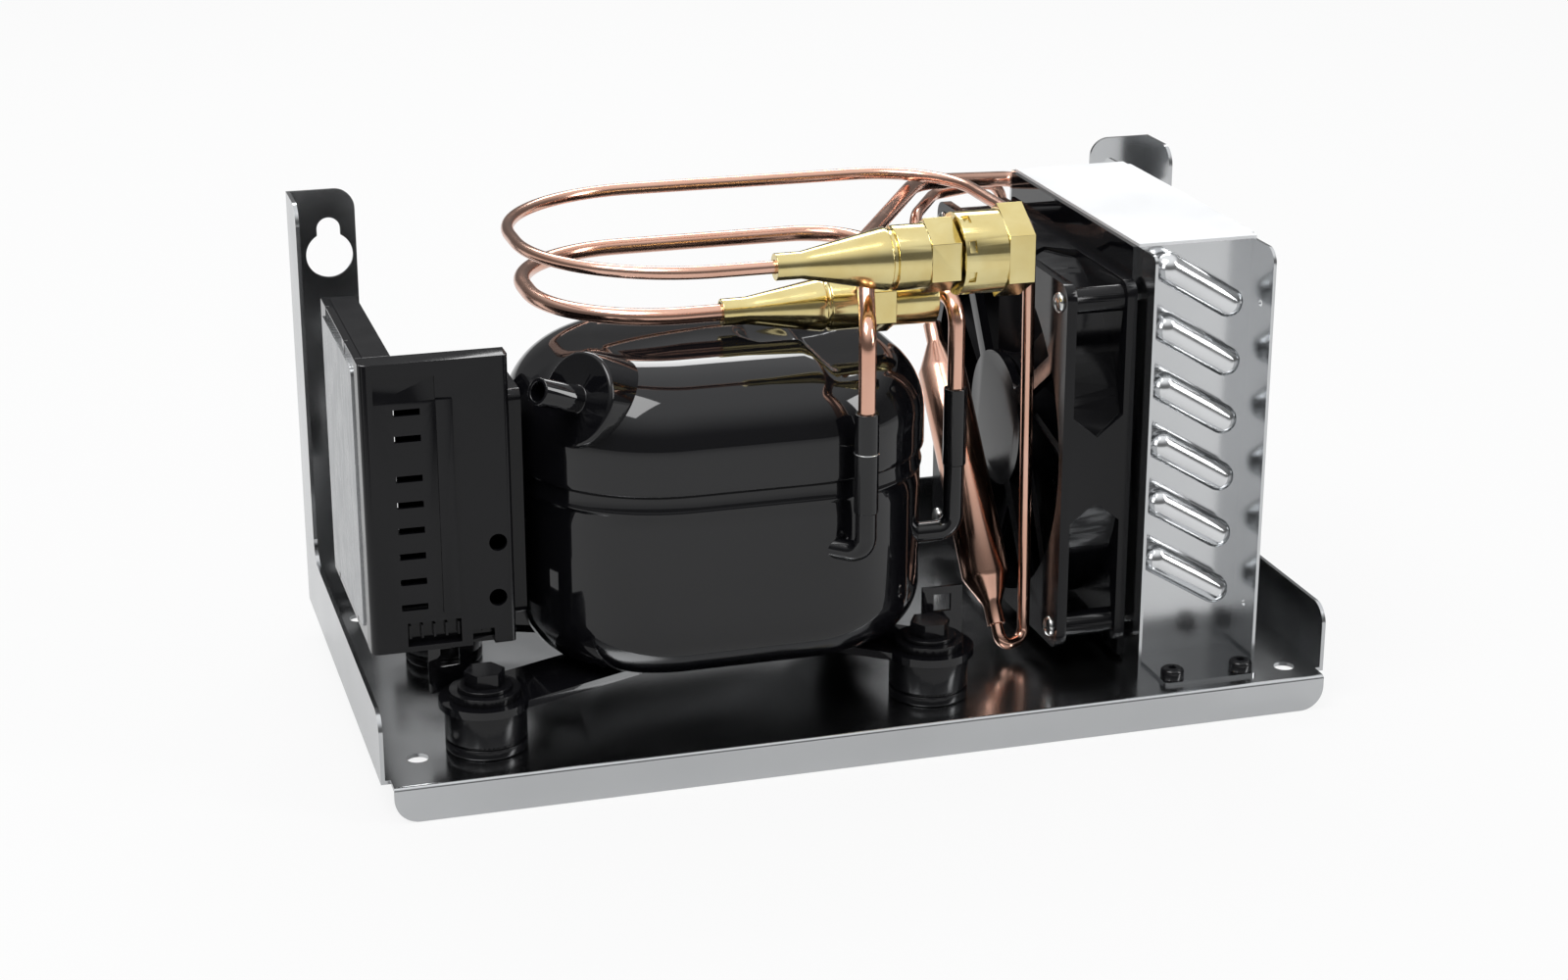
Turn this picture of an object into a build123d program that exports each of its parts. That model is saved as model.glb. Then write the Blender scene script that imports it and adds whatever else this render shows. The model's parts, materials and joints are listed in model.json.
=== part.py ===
from build123d import *
import math
import os

# Refrigeration condensing unit: a hermetic compressor, a fan-cooled condenser, a filter drier
# and two quick couplings on an open sheet-metal tray that hangs from two keyholes.
# x runs along the tray from its left face, y back from its front edge, z up from its floor.
# save() moves every piece so that the origin ends up under the middle of the unit.

os.makedirs("parts", exist_ok=True)

# ---- driving dimensions, millimetres ----
tray_width = 367.5
tray_depth = 197.0
sheet = 1.5
lip_drop = 13.7
lip_inset = 3.5
lip_corner = 9.0
side_height = 25.0
side_setback = 8.0
upright_height = 170.6
upright_depth = 27.0
hanger_width = 26.6
hanger_corner = 8.0
keyhole_inset = 15.8
keyhole_height = 144.0
keyhole_big = 18.6
keyhole_slot = 9.3
keyhole_rise = 10.6
floor_hole = 8.0
back_hole_height = 13.7
running_gap = 0.06
slip_gap = 0.1

# compressor mounting
feet_pitch_x = 170.0
feet_pitch_y = 88.0
feet_x = 42.0
feet_y = 28.0
grommet_d = 30.0
grommet_height = 17.0
bolt_d = 8.0
bolt_head_flats = 13.0
bolt_head = 5.3
nut_height = 6.5
washer_d = 20.0
washer_sheet = 1.6
sleeve_d = 12.0
collar_height = 3.0
bracket_sheet = 3.0

# compressor shell
shell_x = 140.5
shell_y = 72.0
shell_width = 156.0
shell_depth = 122.0
shell_corner = 54.0
shell_top = 140.0
shell_seam = 94.5
shell_lap = 9.0
shell_wall = 2.6
bottom_fillet = 20.0
dome_radius = 33.0
pad_left = 174.0
pad_depth = 10.0
pad_back = 90.0
boss_d = 35.0
stub_d = 10.0
stub_wall = 1.5

# crank mechanism of the compressor
piston_d = 21.0
crank_throw = 4.3
crank_pin_d = 8.0
shaft_d = 12.0
crank_z = 106.0
rod_height = 7.0
stator_d = 96.0
stator_height = 26.0
rotor_d = 46.0
air_gap = 0.5

# condenser
coil_left = 305.5
coil_right = 330.5
coil_top = 158.3
coil_pitch = 23.1
coil_slant = 15.0
coil_rows = 6
coil_tube = 9.4
coil_wall = 0.6
plate_front_y = 38.0
plate_back_y = 165.0
plate_left = 295.5
plate_right = 343.2
plate_sheet = 1.2
plate_height = 166.0
fin_count = 46
fin_sheet = 0.4

# fan
fan_left = 265.5
fan_thickness = 28.0
fan_size = 145.0
fan_front = 32.0
fan_bottom = 9.0
fan_flange = 4.0
duct_d = 138.0
blade_count = 7
hub_d = 50.0
blade_tip_gap = 2.0
fan_shaft_d = 4.0

# refrigerant pipes
suction_tube = 6.35
discharge_tube = 6.35
liquid_tube = 4.76
pipe_wall = 0.8

# quick couplings
liquid_coupling_y = 24.0
liquid_coupling_z = 172.7
liquid_coupling_left = 150.3
liquid_coupling_right = 243.0
suction_coupling_left = 140.2
suction_coupling_right = 222.1
suction_coupling_y = 60.0
suction_coupling_z = 147.0
spigot_d = 20.0

# filter drier
drier_d = 19.0
drier_wall = 1.0

# control unit
control_left = 2.4
control_right = 55.0
control_front = 31.0
control_back = 124.0
control_bottom = 38.5
control_top = 146.5
control_slab = 13.0
control_face = 10.0
slot_height = 2.4
slot_width = 9.5
slot_pitch = 9.7

origin = Pos(-tray_width / 2, -tray_depth / 2, lip_drop)


def save(name, *solids):
    """Write one node, moved so that the origin is under the middle of the unit."""
    placed = [origin * solid for solid in solids]
    shape = placed[0] if len(placed) == 1 else Compound(children=placed)
    export_step(shape, f"parts/{name}.step")


def block(x0, x1, y0, y1, z0, z1):
    """A box between two corners."""
    size = Box(x1 - x0, y1 - y0, z1 - z0, align=(Align.MIN, Align.MIN, Align.MIN))
    return Pos(x0, y0, z0) * size


def rod_x(diameter, x0, x1, y, z):
    """A round bar along x."""
    bar = Cylinder(diameter / 2, x1 - x0, align=(Align.CENTER, Align.CENTER, Align.MIN))
    return Pos(x0, y, z) * Rot(0, 90, 0) * bar


def rod_y(diameter, x, y0, y1, z):
    """A round bar along y."""
    bar = Cylinder(diameter / 2, y1 - y0, align=(Align.CENTER, Align.CENTER, Align.MIN))
    return Pos(x, y0, z) * Rot(-90, 0, 0) * bar


def rod_z(diameter, x, y, z0, z1):
    """A round bar along z."""
    bar = Cylinder(diameter / 2, z1 - z0, align=(Align.CENTER, Align.CENTER, Align.MIN))
    return Pos(x, y, z0) * bar


def hex_x(across_flats, x0, x1, y, z):
    """A hexagonal bar along x with flats above and below."""
    outline = RegularPolygon(across_flats / math.sqrt(3), 6, rotation=0)
    return Pos(x0, y, z) * Rot(0, 90, 0) * extrude(outline, x1 - x0)


def hex_z(across_flats, x, y, z0, z1):
    """A hexagonal bar along z."""
    outline = RegularPolygon(across_flats / math.sqrt(3), 6)
    return Pos(x, y, z0) * extrude(outline, z1 - z0)


def edges_at(solid, axis, **place):
    """Edges parallel to an axis whose middle lies at the given X, Y or Z."""
    found = solid.edges().filter_by(axis)
    for name, value in place.items():
        found = found.filter_by(lambda edge: abs(getattr(edge.center(), name) - value) < 0.01)
    return found


def pipe(points, radii, outer, wall=0.0):
    """A round tube, or a bar with no wall given, along straight runs joined by tangent arcs."""
    path = FilletPolyline(*points, radius=radii, close=False)
    start = Plane(origin=path @ 0, z_dir=path % 0)
    section = Circle(outer / 2)
    if wall:
        section = section - Circle(outer / 2 - wall)
    return sweep(start * section, path=path)


def turned(points, y, z):
    """A solid of revolution about a line along x, from (x, radius) points."""
    outline = [(points[0][0], 0.0)] + list(points) + [(points[-1][0], 0.0)]
    face = make_face(Polyline(*outline, close=True))
    return Pos(0, y, z) * revolve(face, Axis.X)


# ---- tray ----
back_face = tray_depth - sheet
feet = [(feet_x + i * feet_pitch_x, feet_y + j * feet_pitch_y) for i in (0, 1) for j in (0, 1)]
plate_screw_x = [plate_left + 10.5, plate_right - 8.7]
plate_screws = [(x, y) for x in plate_screw_x for y in (13.0, 190.0)]
plate_screw_d = 5.0
floor_holes = [(15.9, 24.0), (tray_width - 14.3, 13.0), (15.9, 165.0), (tray_width - 14.3, 165.0)]


def side_wall():
    """The left flange and upright, bent up from the floor."""
    outline = Polyline(
        (side_setback, -sheet),
        (tray_depth, -sheet),
        (tray_depth, upright_height),
        (tray_depth - upright_depth, upright_height),
        (tray_depth - upright_depth, side_height),
        (side_setback, side_height),
        close=True,
    )
    wall = extrude(Plane.YZ * make_face(outline), sheet)
    wall = fillet(edges_at(wall, Axis.X, Y=side_setback, Z=side_height), hanger_corner)
    wall = fillet(edges_at(wall, Axis.X, Y=tray_depth - upright_depth, Z=upright_height), hanger_corner)
    wall = fillet(edges_at(wall, Axis.X, Y=tray_depth - upright_depth, Z=side_height), lip_corner)
    hanger = block(0, hanger_width, back_face, tray_depth, 0, upright_height)
    hanger = fillet(edges_at(hanger, Axis.Y, X=hanger_width, Z=upright_height), hanger_corner)
    big = rod_y(keyhole_big, keyhole_inset, back_face - 1, tray_depth + 1, keyhole_height)
    slot_top = keyhole_height + keyhole_rise
    small = rod_y(keyhole_slot, keyhole_inset, back_face - 1, tray_depth + 1, slot_top)
    half_slot = keyhole_slot / 2
    slot = block(keyhole_inset - half_slot, keyhole_inset + half_slot, back_face - 1, tray_depth + 1,
                 keyhole_height, slot_top)
    return wall + (hanger - big - small - slot)


def base_tray():
    """The floor, its raised sides and back, and the lip turned down at the front."""
    floor = block(0, tray_width, 0, tray_depth, -sheet, 0)
    for x in (0, tray_width - lip_inset):
        floor -= block(x, x + lip_inset, 0, side_setback, -sheet, 0)
    lip = block(lip_inset, tray_width - lip_inset, 0, sheet, -lip_drop, 0)
    lip = fillet(edges_at(lip, Axis.Y, Z=-lip_drop), lip_corner)
    back = block(0, tray_width, back_face, tray_depth, -sheet, side_height)
    left = side_wall()
    right = mirror(left, about=Plane.YZ.offset(tray_width / 2))
    tray = floor + lip + back + left + right
    tray = fillet(edges_at(tray, Axis.X, Y=0, Z=0), sheet)
    for x, y in floor_holes:
        tray -= rod_z(floor_hole, x, y, -2 * sheet, sheet)
    for x, y in feet:
        tray -= rod_z(bolt_d + slip_gap, x, y, -2 * sheet, sheet)
    for x, y in plate_screws:
        tray -= rod_z(plate_screw_d + slip_gap, x, y, -2 * sheet, sheet)
    for x in (keyhole_inset, tray_width - keyhole_inset):
        tray -= rod_y(floor_hole, x, back_face - 1, tray_depth + 1, back_hole_height)
    return tray


save("base_tray", base_tray())

# ---- compressor feet ----
bracket_bottom = grommet_height
bracket_top = bracket_bottom + bracket_sheet
collar_top = bracket_top + collar_height
washer_top = collar_top + washer_sheet
neck_d = 20.0
collar_d = 26.0


def grommet(x, y):
    """A rubber mount: body under the bracket, neck through it and collar above it."""
    body = rod_z(grommet_d, x, y, 0, bracket_bottom)
    body = fillet(body.edges().filter_by(GeomType.CIRCLE), 1.2)
    neck = rod_z(neck_d, x, y, bracket_bottom - 2, collar_top - 1)
    collar = rod_z(collar_d, x, y, bracket_top, collar_top)
    groove = rod_z(grommet_d + 2, x, y, 4.0, 5.2) - rod_z(grommet_d - 2, x, y, 4.0, 5.2)
    return body + neck + collar - groove - rod_z(sleeve_d + slip_gap, x, y, -1, collar_top + 1)


def foot_sleeve(x, y):
    """The steel tube that stops the bolt from crushing the rubber."""
    return rod_z(sleeve_d, x, y, 0, collar_top) - rod_z(bolt_d + slip_gap, x, y, -1, collar_top + 1)


def foot_washer(x, y):
    """A flat washer on the collar."""
    return rod_z(washer_d, x, y, collar_top, washer_top) - rod_z(bolt_d + slip_gap, x, y, collar_top - 1,
                                                                washer_top + 1)


def foot_bolt(x, y):
    """A hexagon-head bolt from above, down through the tray."""
    head = hex_z(bolt_head_flats, x, y, washer_top, washer_top + bolt_head)
    return head + rod_z(bolt_d, x, y, -sheet - nut_height - 1.5, washer_top)


def foot_nut(x, y):
    """The nut under the tray."""
    nut = hex_z(bolt_head_flats, x, y, -sheet - nut_height, -sheet)
    return nut - rod_z(bolt_d + slip_gap, x, y, -sheet - nut_height - 1, 0)


save("rubber_grommets", *[grommet(x, y) for x, y in feet])
save("foot_sleeves", *[foot_sleeve(x, y) for x, y in feet])
save("foot_washers", *[foot_washer(x, y) for x, y in feet])
save("foot_bolts", *[foot_bolt(x, y) for x, y in feet])
save("foot_nuts", *[foot_nut(x, y) for x, y in feet])

# ---- compressor bracket ----
feet_mid_x = feet_x + feet_pitch_x / 2
foot_pad_d = 34.0
arm_width = 28.0
arm_inner_x = [shell_x - 44.0, shell_x + 44.0]
arm_inner_y = [shell_y - 22.0, shell_y + 22.0]
center_width = 104.0
center_depth = 66.0
tab_height = 20.0
tab_width = 16.0
tab_offset_x = 10.0
tab_offset_y = 13.4
tab_sheet = 1.5
tab_window = 7.0


def compressor_bracket():
    """A plate under the shell with an arm out to a round pad at each foot."""
    flat = Pos(shell_x, shell_y) * RectangleRounded(center_width, center_depth, 10.0)
    for x, y in feet:
        end_x = arm_inner_x[x > feet_mid_x]
        end_y = arm_inner_y[y > shell_y]
        reach = math.hypot(end_x - x, end_y - y)
        turn = math.degrees(math.atan2(end_y - y, end_x - x))
        flat += Pos(x, y) * Circle(foot_pad_d / 2)
        flat += Pos((x + end_x) / 2, (y + end_y) / 2) * Rot(0, 0, turn) * SlotCenterToCenter(reach, arm_width)
    plate = Pos(0, 0, bracket_bottom) * extrude(flat, bracket_sheet)
    for x, y in feet:
        plate -= rod_z(neck_d + slip_gap, x, y, bracket_bottom - 1, bracket_top + 1)
    for x, y in feet:
        tab_x = x + math.copysign(tab_offset_x, x - feet_mid_x)
        tab_y = y + tab_offset_y
        window_z = bracket_bottom + tab_height / 2
        tab = block(tab_x - tab_width / 2, tab_x + tab_width / 2, tab_y, tab_y + tab_sheet,
                    bracket_bottom, bracket_bottom + tab_height)
        tab -= block(tab_x - tab_window / 2, tab_x + tab_window / 2, tab_y - 1, tab_y + tab_sheet + 1,
                     window_z, window_z + tab_window)
        plate += tab
    return plate


save("compressor_bracket", compressor_bracket())

# ---- compressor shell ----
shell_bottom = bracket_top
coupling_trough_d = spigot_d + 8.0
pad_z = shell_top - pad_depth
sleeve_wall = 0.7
discharge_sleeve_d = discharge_tube + 2 * sleeve_wall + slip_gap
suction_sleeve_d = suction_tube + 2 * sleeve_wall + slip_gap
discharge_riser = (179.2, 5.6)
discharge_port = (163.0, 22.0, 68.0)
suction_riser = (228.0, 48.0)
suction_port = (205.0, 48.0, 57.5)
elbow_radius = 6.5
discharge_sleeve_top = 121.5
suction_sleeve_top = 114.0
boss_center = Vector(90.1, 38.8, 122.7)
boss_axis = Vector(-0.83, -0.45, 0.36).normalized()
boss_inside = 10.0
boss_outside = 13.0
stub_length = 19.0


def shell_form(inset, z0, z1, top_fillet, bottom_fillet):
    """A rounded block, smaller on every side by the inset."""
    corner = shell_corner - inset
    outline = RectangleRounded(shell_width - 2 * inset, shell_depth - 2 * inset, corner)
    form = Pos(shell_x, shell_y, z0) * extrude(outline, z1 - z0)
    if top_fillet:
        form = fillet(form.faces().sort_by(Axis.Z)[-1].edges(), top_fillet)
    if bottom_fillet:
        form = fillet(form.faces().sort_by(Axis.Z)[0].edges(), bottom_fillet)
    return form


def dome_form(inset, z0):
    """The dome with its flat pad and the trough under the coupling, smaller by the inset."""
    form = shell_form(inset, z0, shell_top - inset, dome_radius - inset, 0)
    form -= block(pad_left - inset, shell_x + shell_width, 0, pad_back + inset, pad_z - inset, shell_top + 1)
    trough_left = suction_coupling_left + 12.0 - inset
    return form - rod_x(coupling_trough_d + 2 * inset, trough_left, pad_left, suction_coupling_y,
                        suction_coupling_z)


def elbow_points(port, riser, top):
    """Corner points from a port inside the shell to the top of a riser beside it."""
    return [port, (riser[0], riser[1], port[2]), (riser[0], riser[1], top)]


def boss_form(diameter, inner, outer):
    """A round bar along the boss axis, measured from the boss centre."""
    plane = Plane(origin=boss_center + boss_axis * inner, z_dir=boss_axis)
    return extrude(plane * Circle(diameter / 2), outer - inner)


discharge_elbow = elbow_points(discharge_port, discharge_riser, discharge_sleeve_top)
suction_elbow = elbow_points(suction_port, suction_riser, suction_sleeve_top)
discharge_hole = pipe(discharge_elbow, [elbow_radius], discharge_sleeve_d)
suction_hole = pipe(suction_elbow, [elbow_radius], suction_sleeve_d)


def upper_shell():
    """The dome that laps over the lower shell."""
    shell = dome_form(0, shell_seam) - dome_form(shell_wall, shell_seam - 1)
    return shell - boss_form(boss_d, -boss_inside, boss_outside)


def lower_shell():
    """The pot that holds the motor, with its upper edge inside the dome."""
    step = shell_wall + slip_gap
    outer = shell_form(0, shell_bottom, shell_seam, 0, bottom_fillet)
    lap = shell_form(step, shell_seam, shell_seam + shell_lap, 0, 0)
    inner_low = shell_form(shell_wall, shell_bottom + shell_wall, shell_seam - shell_wall, 0,
                           bottom_fillet - shell_wall)
    inner_high = shell_form(step + shell_wall, shell_seam - shell_wall, shell_seam + shell_lap, 0, 0)
    return outer + lap - inner_low - inner_high - discharge_hole - suction_hole


def compressor_stub():
    """The process tube: a round boss on the shoulder of the dome and its open stub."""
    boss = boss_form(boss_d, -boss_inside, boss_outside)
    circles = boss.edges().filter_by(GeomType.CIRCLE)
    rim = circles.sort_by_distance(boss_center + boss_axis * 2 * boss_outside)
    boss = fillet(rim[:1], 1.5)
    tube = boss_form(stub_d, boss_outside - 1, boss_outside + stub_length)
    return boss + tube - boss_form(stub_d - 2 * stub_wall, -boss_inside - 1, boss_outside + stub_length + 1)


def connector_sleeve(points, diameter, tube, collar_z):
    """The black sleeve over the elbow and riser of one connector."""
    inner = tube + slip_gap
    sleeve = pipe(points, [elbow_radius], diameter, (diameter - inner) / 2)
    x, y, top = points[-1]
    collar = rod_z(diameter + 1.0, x, y, collar_z, top) - rod_z(diameter - 0.2, x, y, collar_z - 1, top + 1)
    return sleeve + collar


save("compressor_upper_shell", upper_shell())
save("compressor_lower_shell", lower_shell())
save("compressor_process_tube", compressor_stub())
save("discharge_sleeve", connector_sleeve(discharge_elbow, discharge_sleeve_d, discharge_tube, 84.0))
save("suction_sleeve", connector_sleeve(suction_elbow, suction_sleeve_d, suction_tube, 84.0))

# ---- terminal cover and control unit ----
terminal_gap = 0.3
terminal_right = shell_x - shell_width / 2 - terminal_gap
terminal_left = control_right + terminal_gap
terminal_front = 47.0
terminal_back = 98.0
terminal_low = 42.0
terminal_high = 128.0
cover_wall = 2.0
control_cover_back = control_front + control_face
heat_sink_sheet = 3.0
heat_sink_groove = 1.2
slab_left = control_left + heat_sink_sheet
slab_right = slab_left + control_slab - heat_sink_sheet
board_sheet = 1.6
slot_center_x = 18.5
slot_group_tops = [(control_top - 18.0, 2), (control_top - 42.5, 6)]
control_hole_d = 6.5
control_holes = [(49.3, 77.0), (48.7, 56.0)]
ridge_x = 28.7
ridge_width = 5.9
recess_depth = 0.8
terminal_pin = 0.8
pin_count = 8


def terminal_cover():
    """The plastic box over the compressor's electrical terminals, open towards the shell."""
    box = block(terminal_left, terminal_right, terminal_front, terminal_back, terminal_low, terminal_high)
    box = fillet(box.edges().filter_by(Axis.X), 4.0)
    inside = block(terminal_left + cover_wall, terminal_right + 1, terminal_front + cover_wall,
                   terminal_back - cover_wall, terminal_low + cover_wall, terminal_high - cover_wall)
    return box - inside


def terminal_pins():
    """Three pins through a glass-sealed plate on the side of the shell."""
    middle_y = (terminal_front + terminal_back) / 2
    middle_z = 74.0
    pins = []
    for angle in (90, 210, 330):
        y = middle_y + 7.0 * math.cos(math.radians(angle))
        z = middle_z + 7.0 * math.sin(math.radians(angle))
        pins.append(rod_x(2.2, terminal_left + cover_wall + 0.5, terminal_right + terminal_gap, y, z))
    return pins


def control_cover():
    """The front cover of the control unit: slots, a ridge, a terminal opening and two holes."""
    box = block(control_left, control_right, control_front, control_cover_back, control_bottom, control_top)
    box = fillet(edges_at(box, Axis.Z, X=control_left, Y=control_front), 3.0)
    box = fillet(edges_at(box, Axis.Z, X=control_right, Y=control_front), 2.0)
    box -= block(control_left + cover_wall, control_right - cover_wall, control_front + cover_wall,
                 control_cover_back + 1, control_bottom + cover_wall, control_top - cover_wall)
    box += block(slab_right + slip_gap, control_right, control_cover_back - cover_wall, control_cover_back,
                 control_bottom, control_top)
    box += block(ridge_x, ridge_x + ridge_width, control_front - 1.2, control_front + cover_wall,
                 control_bottom + 14.0, control_top - 14.0)
    for top, count in slot_group_tops:
        for i in range(count):
            z = top - i * slot_pitch
            box -= block(slot_center_x - slot_width / 2, slot_center_x + slot_width / 2, control_front - 2,
                         control_front + cover_wall + 1, z - slot_height / 2, z + slot_height / 2)
    for x, z in control_holes:
        box -= rod_y(control_hole_d, x, control_front - 2, control_front + cover_wall + 1, z)
    box -= block(15.5, 35.0, control_front - 2, control_front + cover_wall + 1, control_bottom + cover_wall,
                 control_bottom + 11.0)
    box -= block(7.0, ridge_x, control_front - 1, control_front + recess_depth, control_top - 14.5,
                 control_top - 5.5)
    box -= block(39.0, 47.0, control_front - 2, control_front + cover_wall + 1, control_bottom - 1,
                 control_bottom + 6.0)
    return box


def heat_sink():
    """The aluminium side of the control unit, with two long grooves."""
    plate = block(control_left, slab_left, control_cover_back, control_back, control_bottom, control_top)
    for y in (control_cover_back + 22.0, control_back - 14.0):
        plate -= block(control_left - 1, control_left + heat_sink_groove, y, y + heat_sink_groove,
                       control_bottom - 1, control_top + 1)
    return plate


def control_housing():
    """The plastic slab behind the front cover, hollow and open to the heat sink."""
    box = block(slab_left, slab_right, control_cover_back, control_back, control_bottom, control_top)
    box -= block(slab_left - 1, slab_right - cover_wall, control_cover_back + cover_wall,
                 control_back - cover_wall, control_bottom + cover_wall, control_top - cover_wall)
    return box


def control_board():
    """The circuit board inside the housing, standing on the heat sink's pads."""
    board_x = slab_left + 2.0
    board = block(board_x, board_x + board_sheet, control_cover_back + cover_wall + 0.5,
                  control_back - cover_wall - 0.5, control_bottom + cover_wall + 0.5,
                  control_top - cover_wall - 0.5)
    for z in (control_bottom + 20.0, control_top - 20.0):
        for y in (control_cover_back + 16.0, control_back - 16.0):
            board += rod_x(6.0, slab_left, board_x, y, z)
    capacitor = rod_x(4.5, board_x + board_sheet, slab_right - cover_wall - 0.4, control_cover_back + 20.0,
                      control_bottom + 45.0)
    return board + capacitor


def terminal_block():
    """The row of spade terminals behind the opening in the front cover."""
    base = block(9.0, 47.0, control_front + cover_wall + 2.6, control_cover_back - cover_wall,
                 control_bottom + cover_wall, control_bottom + 11.0)
    for i in range(pin_count):
        x = 12.0 + i * 4.4
        base += block(x, x + terminal_pin, control_front + cover_wall + 0.4, control_front + cover_wall + 2.6,
                      control_bottom + 4.0, control_bottom + 9.0)
    return base


def control_bracket():
    """The clip that carries the control unit on the terminal cover."""
    clip = block(slab_right, terminal_left, 70.0, 92.0, 84.0, 87.0)
    clip += block(slab_right, slab_right + 2.0, 70.0, 92.0, 76.0, 95.0)
    return clip + block(terminal_left - 2.0, terminal_left, 70.0, 92.0, 76.0, 95.0)


save("terminal_cover", terminal_cover())
save("terminal_pins", *terminal_pins())
save("control_front_cover", control_cover())
save("control_heat_sink", heat_sink())
save("control_housing", control_housing())
save("control_board", control_board())
save("control_terminal_block", terminal_block())
save("control_bracket", control_bracket())

# ---- crank mechanism ----
stator_low = shell_bottom + shell_wall + 9.0
stator_high = stator_low + stator_height
coil_overhang = 7.0
block_low = stator_high + coil_overhang + 1.0
block_high = crank_z - rod_height / 2 - 3.0
cylinder_z = crank_z
cylinder_left = shell_x + 24.0
cylinder_right = cylinder_left + 24.0
piston_length = 14.0
piston_clearance = 0.05
piston_left = cylinder_left + 5.0
wrist_pin_d = 5.0
eye_inner = crank_pin_d + 4 * crank_throw + 2.0
eye_outer = eye_inner + 9.0
spring_turns = 4


def stator():
    """The laminated motor stator."""
    ring = rod_z(stator_d, shell_x, shell_y, stator_low, stator_high)
    return ring - rod_z(rotor_d + 2 * air_gap, shell_x, shell_y, stator_low - 1, stator_high + 1)


def windings():
    """The copper end turns above and below the stator."""
    rings = []
    for low in (stator_low - coil_overhang, stator_high):
        ring = rod_z(stator_d - 18.0, shell_x, shell_y, low, low + coil_overhang)
        rings.append(ring - rod_z(rotor_d + 6.0, shell_x, shell_y, low - 1, low + coil_overhang + 1))
    return rings


def rotor():
    """The motor rotor, pressed on the crankshaft."""
    drum = rod_z(rotor_d, shell_x, shell_y, stator_low - 2.0, stator_high + 2.0)
    return drum - rod_z(shaft_d, shell_x, shell_y, stator_low - 3.0, stator_high + 3.0)


def crankshaft():
    """The vertical shaft with its counterweight and crank pin."""
    shaft = rod_z(shaft_d, shell_x, shell_y, stator_low - 6.0, block_high + 1.0)
    web = rod_z(shaft_d + 4 * crank_throw, shell_x, shell_y, block_high + 1.0,
                crank_z - rod_height / 2 - 0.5)
    pin_top = crank_z + rod_height / 2 + 1.0
    pin = rod_z(crank_pin_d, shell_x + crank_throw, shell_y, block_high + 1.0, pin_top)
    return shaft + web + pin


def cylinder_block():
    """The cast block: main bearing, deck and cylinder barrel."""
    deck = rod_z(stator_d - 12.0, shell_x, shell_y, block_high - 7.0, block_high)
    skirt = rod_z(stator_d - 12.0, shell_x, shell_y, stator_high, block_high - 7.0)
    skirt -= rod_z(stator_d - 15.0, shell_x, shell_y, stator_high - 1, block_high - 6.0)
    bearing = rod_z(shaft_d + 14.0, shell_x, shell_y, block_low, block_high)
    barrel = rod_x(piston_d + 12.0, cylinder_left, cylinder_right, shell_y, cylinder_z)
    saddle = block(cylinder_left, cylinder_right, shell_y - 12.0, shell_y + 12.0,
                   block_high - 3.0, cylinder_z)
    solid = deck + skirt + bearing + barrel + saddle
    solid -= rod_z(shaft_d + 2 * running_gap, shell_x, shell_y, block_low - 1, block_high + 1)
    return solid - rod_x(piston_d + 2 * piston_clearance, cylinder_left - 1, cylinder_right + 1, shell_y,
                         cylinder_z)


def piston():
    """The piston, hollow behind its crown, with a cross hole for the wrist pin."""
    body = rod_x(piston_d, piston_left, piston_left + piston_length, shell_y, cylinder_z)
    body -= rod_x(piston_d - 6.0, piston_left - 1, piston_left + piston_length - 4.0, shell_y, cylinder_z)
    return body - rod_y(wrist_pin_d, piston_left + 5.0, shell_y - piston_d, shell_y + piston_d, cylinder_z)


def wrist_pin():
    """The pin that joins the rod to the piston."""
    return rod_y(wrist_pin_d, piston_left + 5.0, shell_y - piston_d / 2 + 0.6, shell_y + piston_d / 2 - 0.6,
                 cylinder_z)


def connecting_rod():
    """The rod, with an open eye that clears the crank pin all round its orbit."""
    eye_x = shell_x
    low = cylinder_z - rod_height / 2
    high = cylinder_z + rod_height / 2
    eye = rod_z(eye_outer, eye_x, shell_y, low, high)
    beam = block(eye_x, piston_left + 5.0, shell_y - 3.0, shell_y + 3.0, low + 0.5, high - 0.5)
    small = rod_y(wrist_pin_d + 4.0, piston_left + 5.0, shell_y - 4.0, shell_y + 4.0, cylinder_z)
    rod = eye + beam + small - rod_z(eye_inner, eye_x, shell_y, low - 1, high + 1)
    return rod - rod_y(wrist_pin_d, piston_left + 5.0, shell_y - 5.0, shell_y + 5.0, cylinder_z)


def cylinder_head():
    """The head with its valve plate, closing the end of the barrel."""
    head = block(cylinder_right, cylinder_right + 9.0, shell_y - 15.0, shell_y + 15.0, cylinder_z - 15.0,
                 cylinder_z + 15.0)
    head = fillet(head.edges().filter_by(Axis.X), 4.0)
    return head - block(cylinder_right + 3.0, cylinder_right + 7.0, shell_y - 10.0, shell_y + 10.0,
                        cylinder_z - 10.0, cylinder_z + 10.0)


def suspension_springs():
    """Four coil springs that carry the motor on the floor of the shell."""
    low = shell_bottom + shell_wall
    length = stator_low - low
    springs = []
    for angle in (45, 135, 225, 315):
        x = shell_x + (stator_d / 2 - 3.0) * math.cos(math.radians(angle))
        y = shell_y + (stator_d / 2 - 3.0) * math.sin(math.radians(angle))
        ring = rod_z(9.0, x, y, low, low + length) - rod_z(6.0, x, y, low - 1, low + length + 1)
        for i in range(spring_turns):
            z = low + (i + 0.5) * length / spring_turns
            ring -= rod_z(10.0, x, y, z, z + 0.6) - rod_z(8.0, x, y, z - 1, z + 2)
        springs.append(ring)
    return springs


save("motor_stator", stator())
save("motor_windings", *windings())
save("motor_rotor", rotor())
save("crankshaft", crankshaft())
save("cylinder_block", cylinder_block())
save("piston", piston())
save("wrist_pin", wrist_pin())
save("connecting_rod", connecting_rod())
save("cylinder_head", cylinder_head())
save("suspension_springs", *suspension_springs())

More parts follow.
